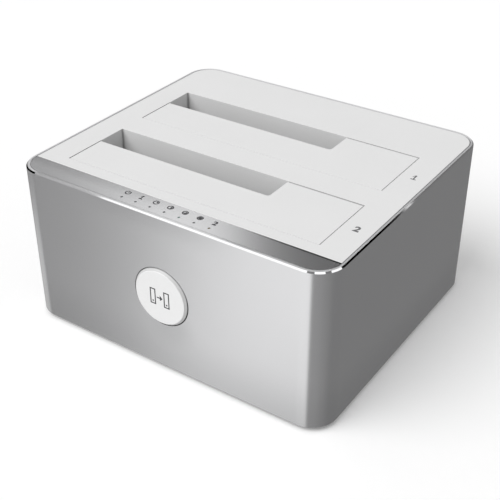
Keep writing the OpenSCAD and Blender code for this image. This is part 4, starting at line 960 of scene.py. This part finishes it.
# %% Contacts on the tongue of the data socket
tree, size = node_tree("contact_row", Middle="Vector", Strip="Vector", Count="Int", Pitch="Float")
strip = Wire(tree).node("GeometryNodeMeshCube", {}, {"Size": size["Strip"]})
offset = strip.node("ShaderNodeCombineXYZ", {}, {0: size["Pitch"]})
line = strip.node("GeometryNodeMeshLine", {}, {"Count": size["Count"], "Offset": offset})
row = line.node("GeometryNodeInstanceOnPoints", {}, {"Points": line, "Instance": strip})
shift = strip.node("ShaderNodeCombineXYZ", {}, {0: -0.5 * size["Pitch"] * (size["Count"] - 1)})
shift = shift.node("ShaderNodeVectorMath", {"operation": "ADD"}, {0: shift, 1: size["Middle"]})
row = row.node("GeometryNodeTransform", {}, {"Geometry": row, "Translation": shift})
end_tree(row, gold)
low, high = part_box("usb_tongue")
STRIP_LONG, STRIP_THICK, STRIP_BACK = 5.6, 0.12, 3.6 * MM
CONTACT_ROWS = (  # height in metres, strips, and their pitch and width in millimetres
    (low.z, 2, 2.5, 1.0),
    (low.z + 3.2 * MM, 2, 2.5, 1.0),
    (high.z - 1.0 * MM, 5, 0.9, 0.5),
)
rows = []
for z, count, pitch, wide in CONTACT_ROWS:
    rows.append(grown(tree, Middle=Vector((0, high.y - STRIP_BACK, z)), Count=count, Pitch=pitch * MM,
                      Strip=Vector((wide, STRIP_LONG, STRIP_THICK)) * MM))
contacts = joined("data_contacts", rows)
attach(contacts, "housing")

# %% [markdown]
# A chip's legs are bent strips that come out of its side, turn down and end in a flat foot on the
# board. Three short boxes make one leg, instances on a line make a row of them, and the row is set
# once for each side of the chip, turned about the chip's middle.

# %% One leg of a chip
LEG_THICK, LEG_OUT, LEG_FOOT = 0.12 * MM, 0.35 * MM, 0.45 * MM
tree, size = node_tree("chip_legs", Middle="Vector", Reach="Float", Lift="Float", Wide="Float",
                       Count="Int", Pitch="Float", Sides="Int")
start = Wire(tree)
strips = []
for x, z, long, tall in (
    (LEG_OUT / 2, size["Lift"], LEG_OUT, LEG_THICK),
    (LEG_OUT, 0.5 * size["Lift"], LEG_THICK, size["Lift"]),
    (LEG_OUT + LEG_FOOT / 2, 0.5 * LEG_THICK, LEG_FOOT, LEG_THICK),
):
    form = start.node("ShaderNodeCombineXYZ", {}, {0: long, 1: size["Wide"], 2: tall})
    strip = start.node("GeometryNodeMeshCube", {}, {"Size": form})
    spot = start.node("ShaderNodeCombineXYZ", {}, {0: x, 2: z})
    strips.append(start.node("GeometryNodeTransform", {}, {"Geometry": strip, "Translation": spot}))
leg = start.node("GeometryNodeJoinGeometry")
for strip in strips:
    tree.links.new(strip.socket, leg.socket.node.inputs[0])
print("a leg is", len(strips), "boxes")

# %% [markdown]
# The chips stand on the main board, so their legs do too. Two chips have legs on all four sides and
# two have them on two sides only, and the table says how many, how far apart and how far out.

# %% Legs of the chips
half_row = -0.5 * size["Pitch"] * (size["Count"] - 1)
first = start.node("ShaderNodeCombineXYZ", {}, {0: size["Reach"], 1: half_row})
along = start.node("ShaderNodeCombineXYZ", {}, {1: size["Pitch"]})
line = start.node("GeometryNodeMeshLine", {},
                  {"Count": size["Count"], "Start Location": first, "Offset": along})
row = start.node("GeometryNodeInstanceOnPoints", {}, {"Points": line, "Instance": leg})
hub = start.node("GeometryNodeMeshLine", {}, {"Count": size["Sides"], "Offset": (0, 0, 0)})
quarter = start.node("GeometryNodeInputIndex") * start.sum("DIVIDE", 2 * math.pi, size["Sides"])
turned = start.node("ShaderNodeCombineXYZ", {}, {2: quarter})
ring = start.node("GeometryNodeInstanceOnPoints", {},
                  {"Points": hub, "Instance": row, "Rotation": turned})
ring = start.node("GeometryNodeTransform", {}, {"Geometry": ring, "Translation": size["Middle"]})
end_tree(ring, steel)
CHIPS_MIDDLE, BOARD_TOP = 3.3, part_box("main_board")[1].z
LEG_LIFT, LEG_WIDE = 0.5 * MM, 0.28 * MM
CHIPS = (  # place, width, sides with legs, legs on a side and their pitch, in millimetres
    (0, 0, 14, 4, 20, 0.6),
    (24, -4, 9, 4, 12, 0.6),
    (-30, -5, 6, 2, 4, 1.0),
    (30, 8, 6, 2, 4, 1.0),
)
leg_rings = []
for x, y, wide, sides, count, pitch in CHIPS:
    middle = Vector((x * MM, (y + CHIPS_MIDDLE) * MM, BOARD_TOP))
    leg_rings.append(grown(tree, Middle=middle, Reach=wide / 2 * MM, Lift=LEG_LIFT, Wide=LEG_WIDE,
                           Count=count, Pitch=pitch * MM, Sides=sides))
chip_legs = joined("chip_legs", leg_rings)
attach(chip_legs, "housing")

# %% [markdown]
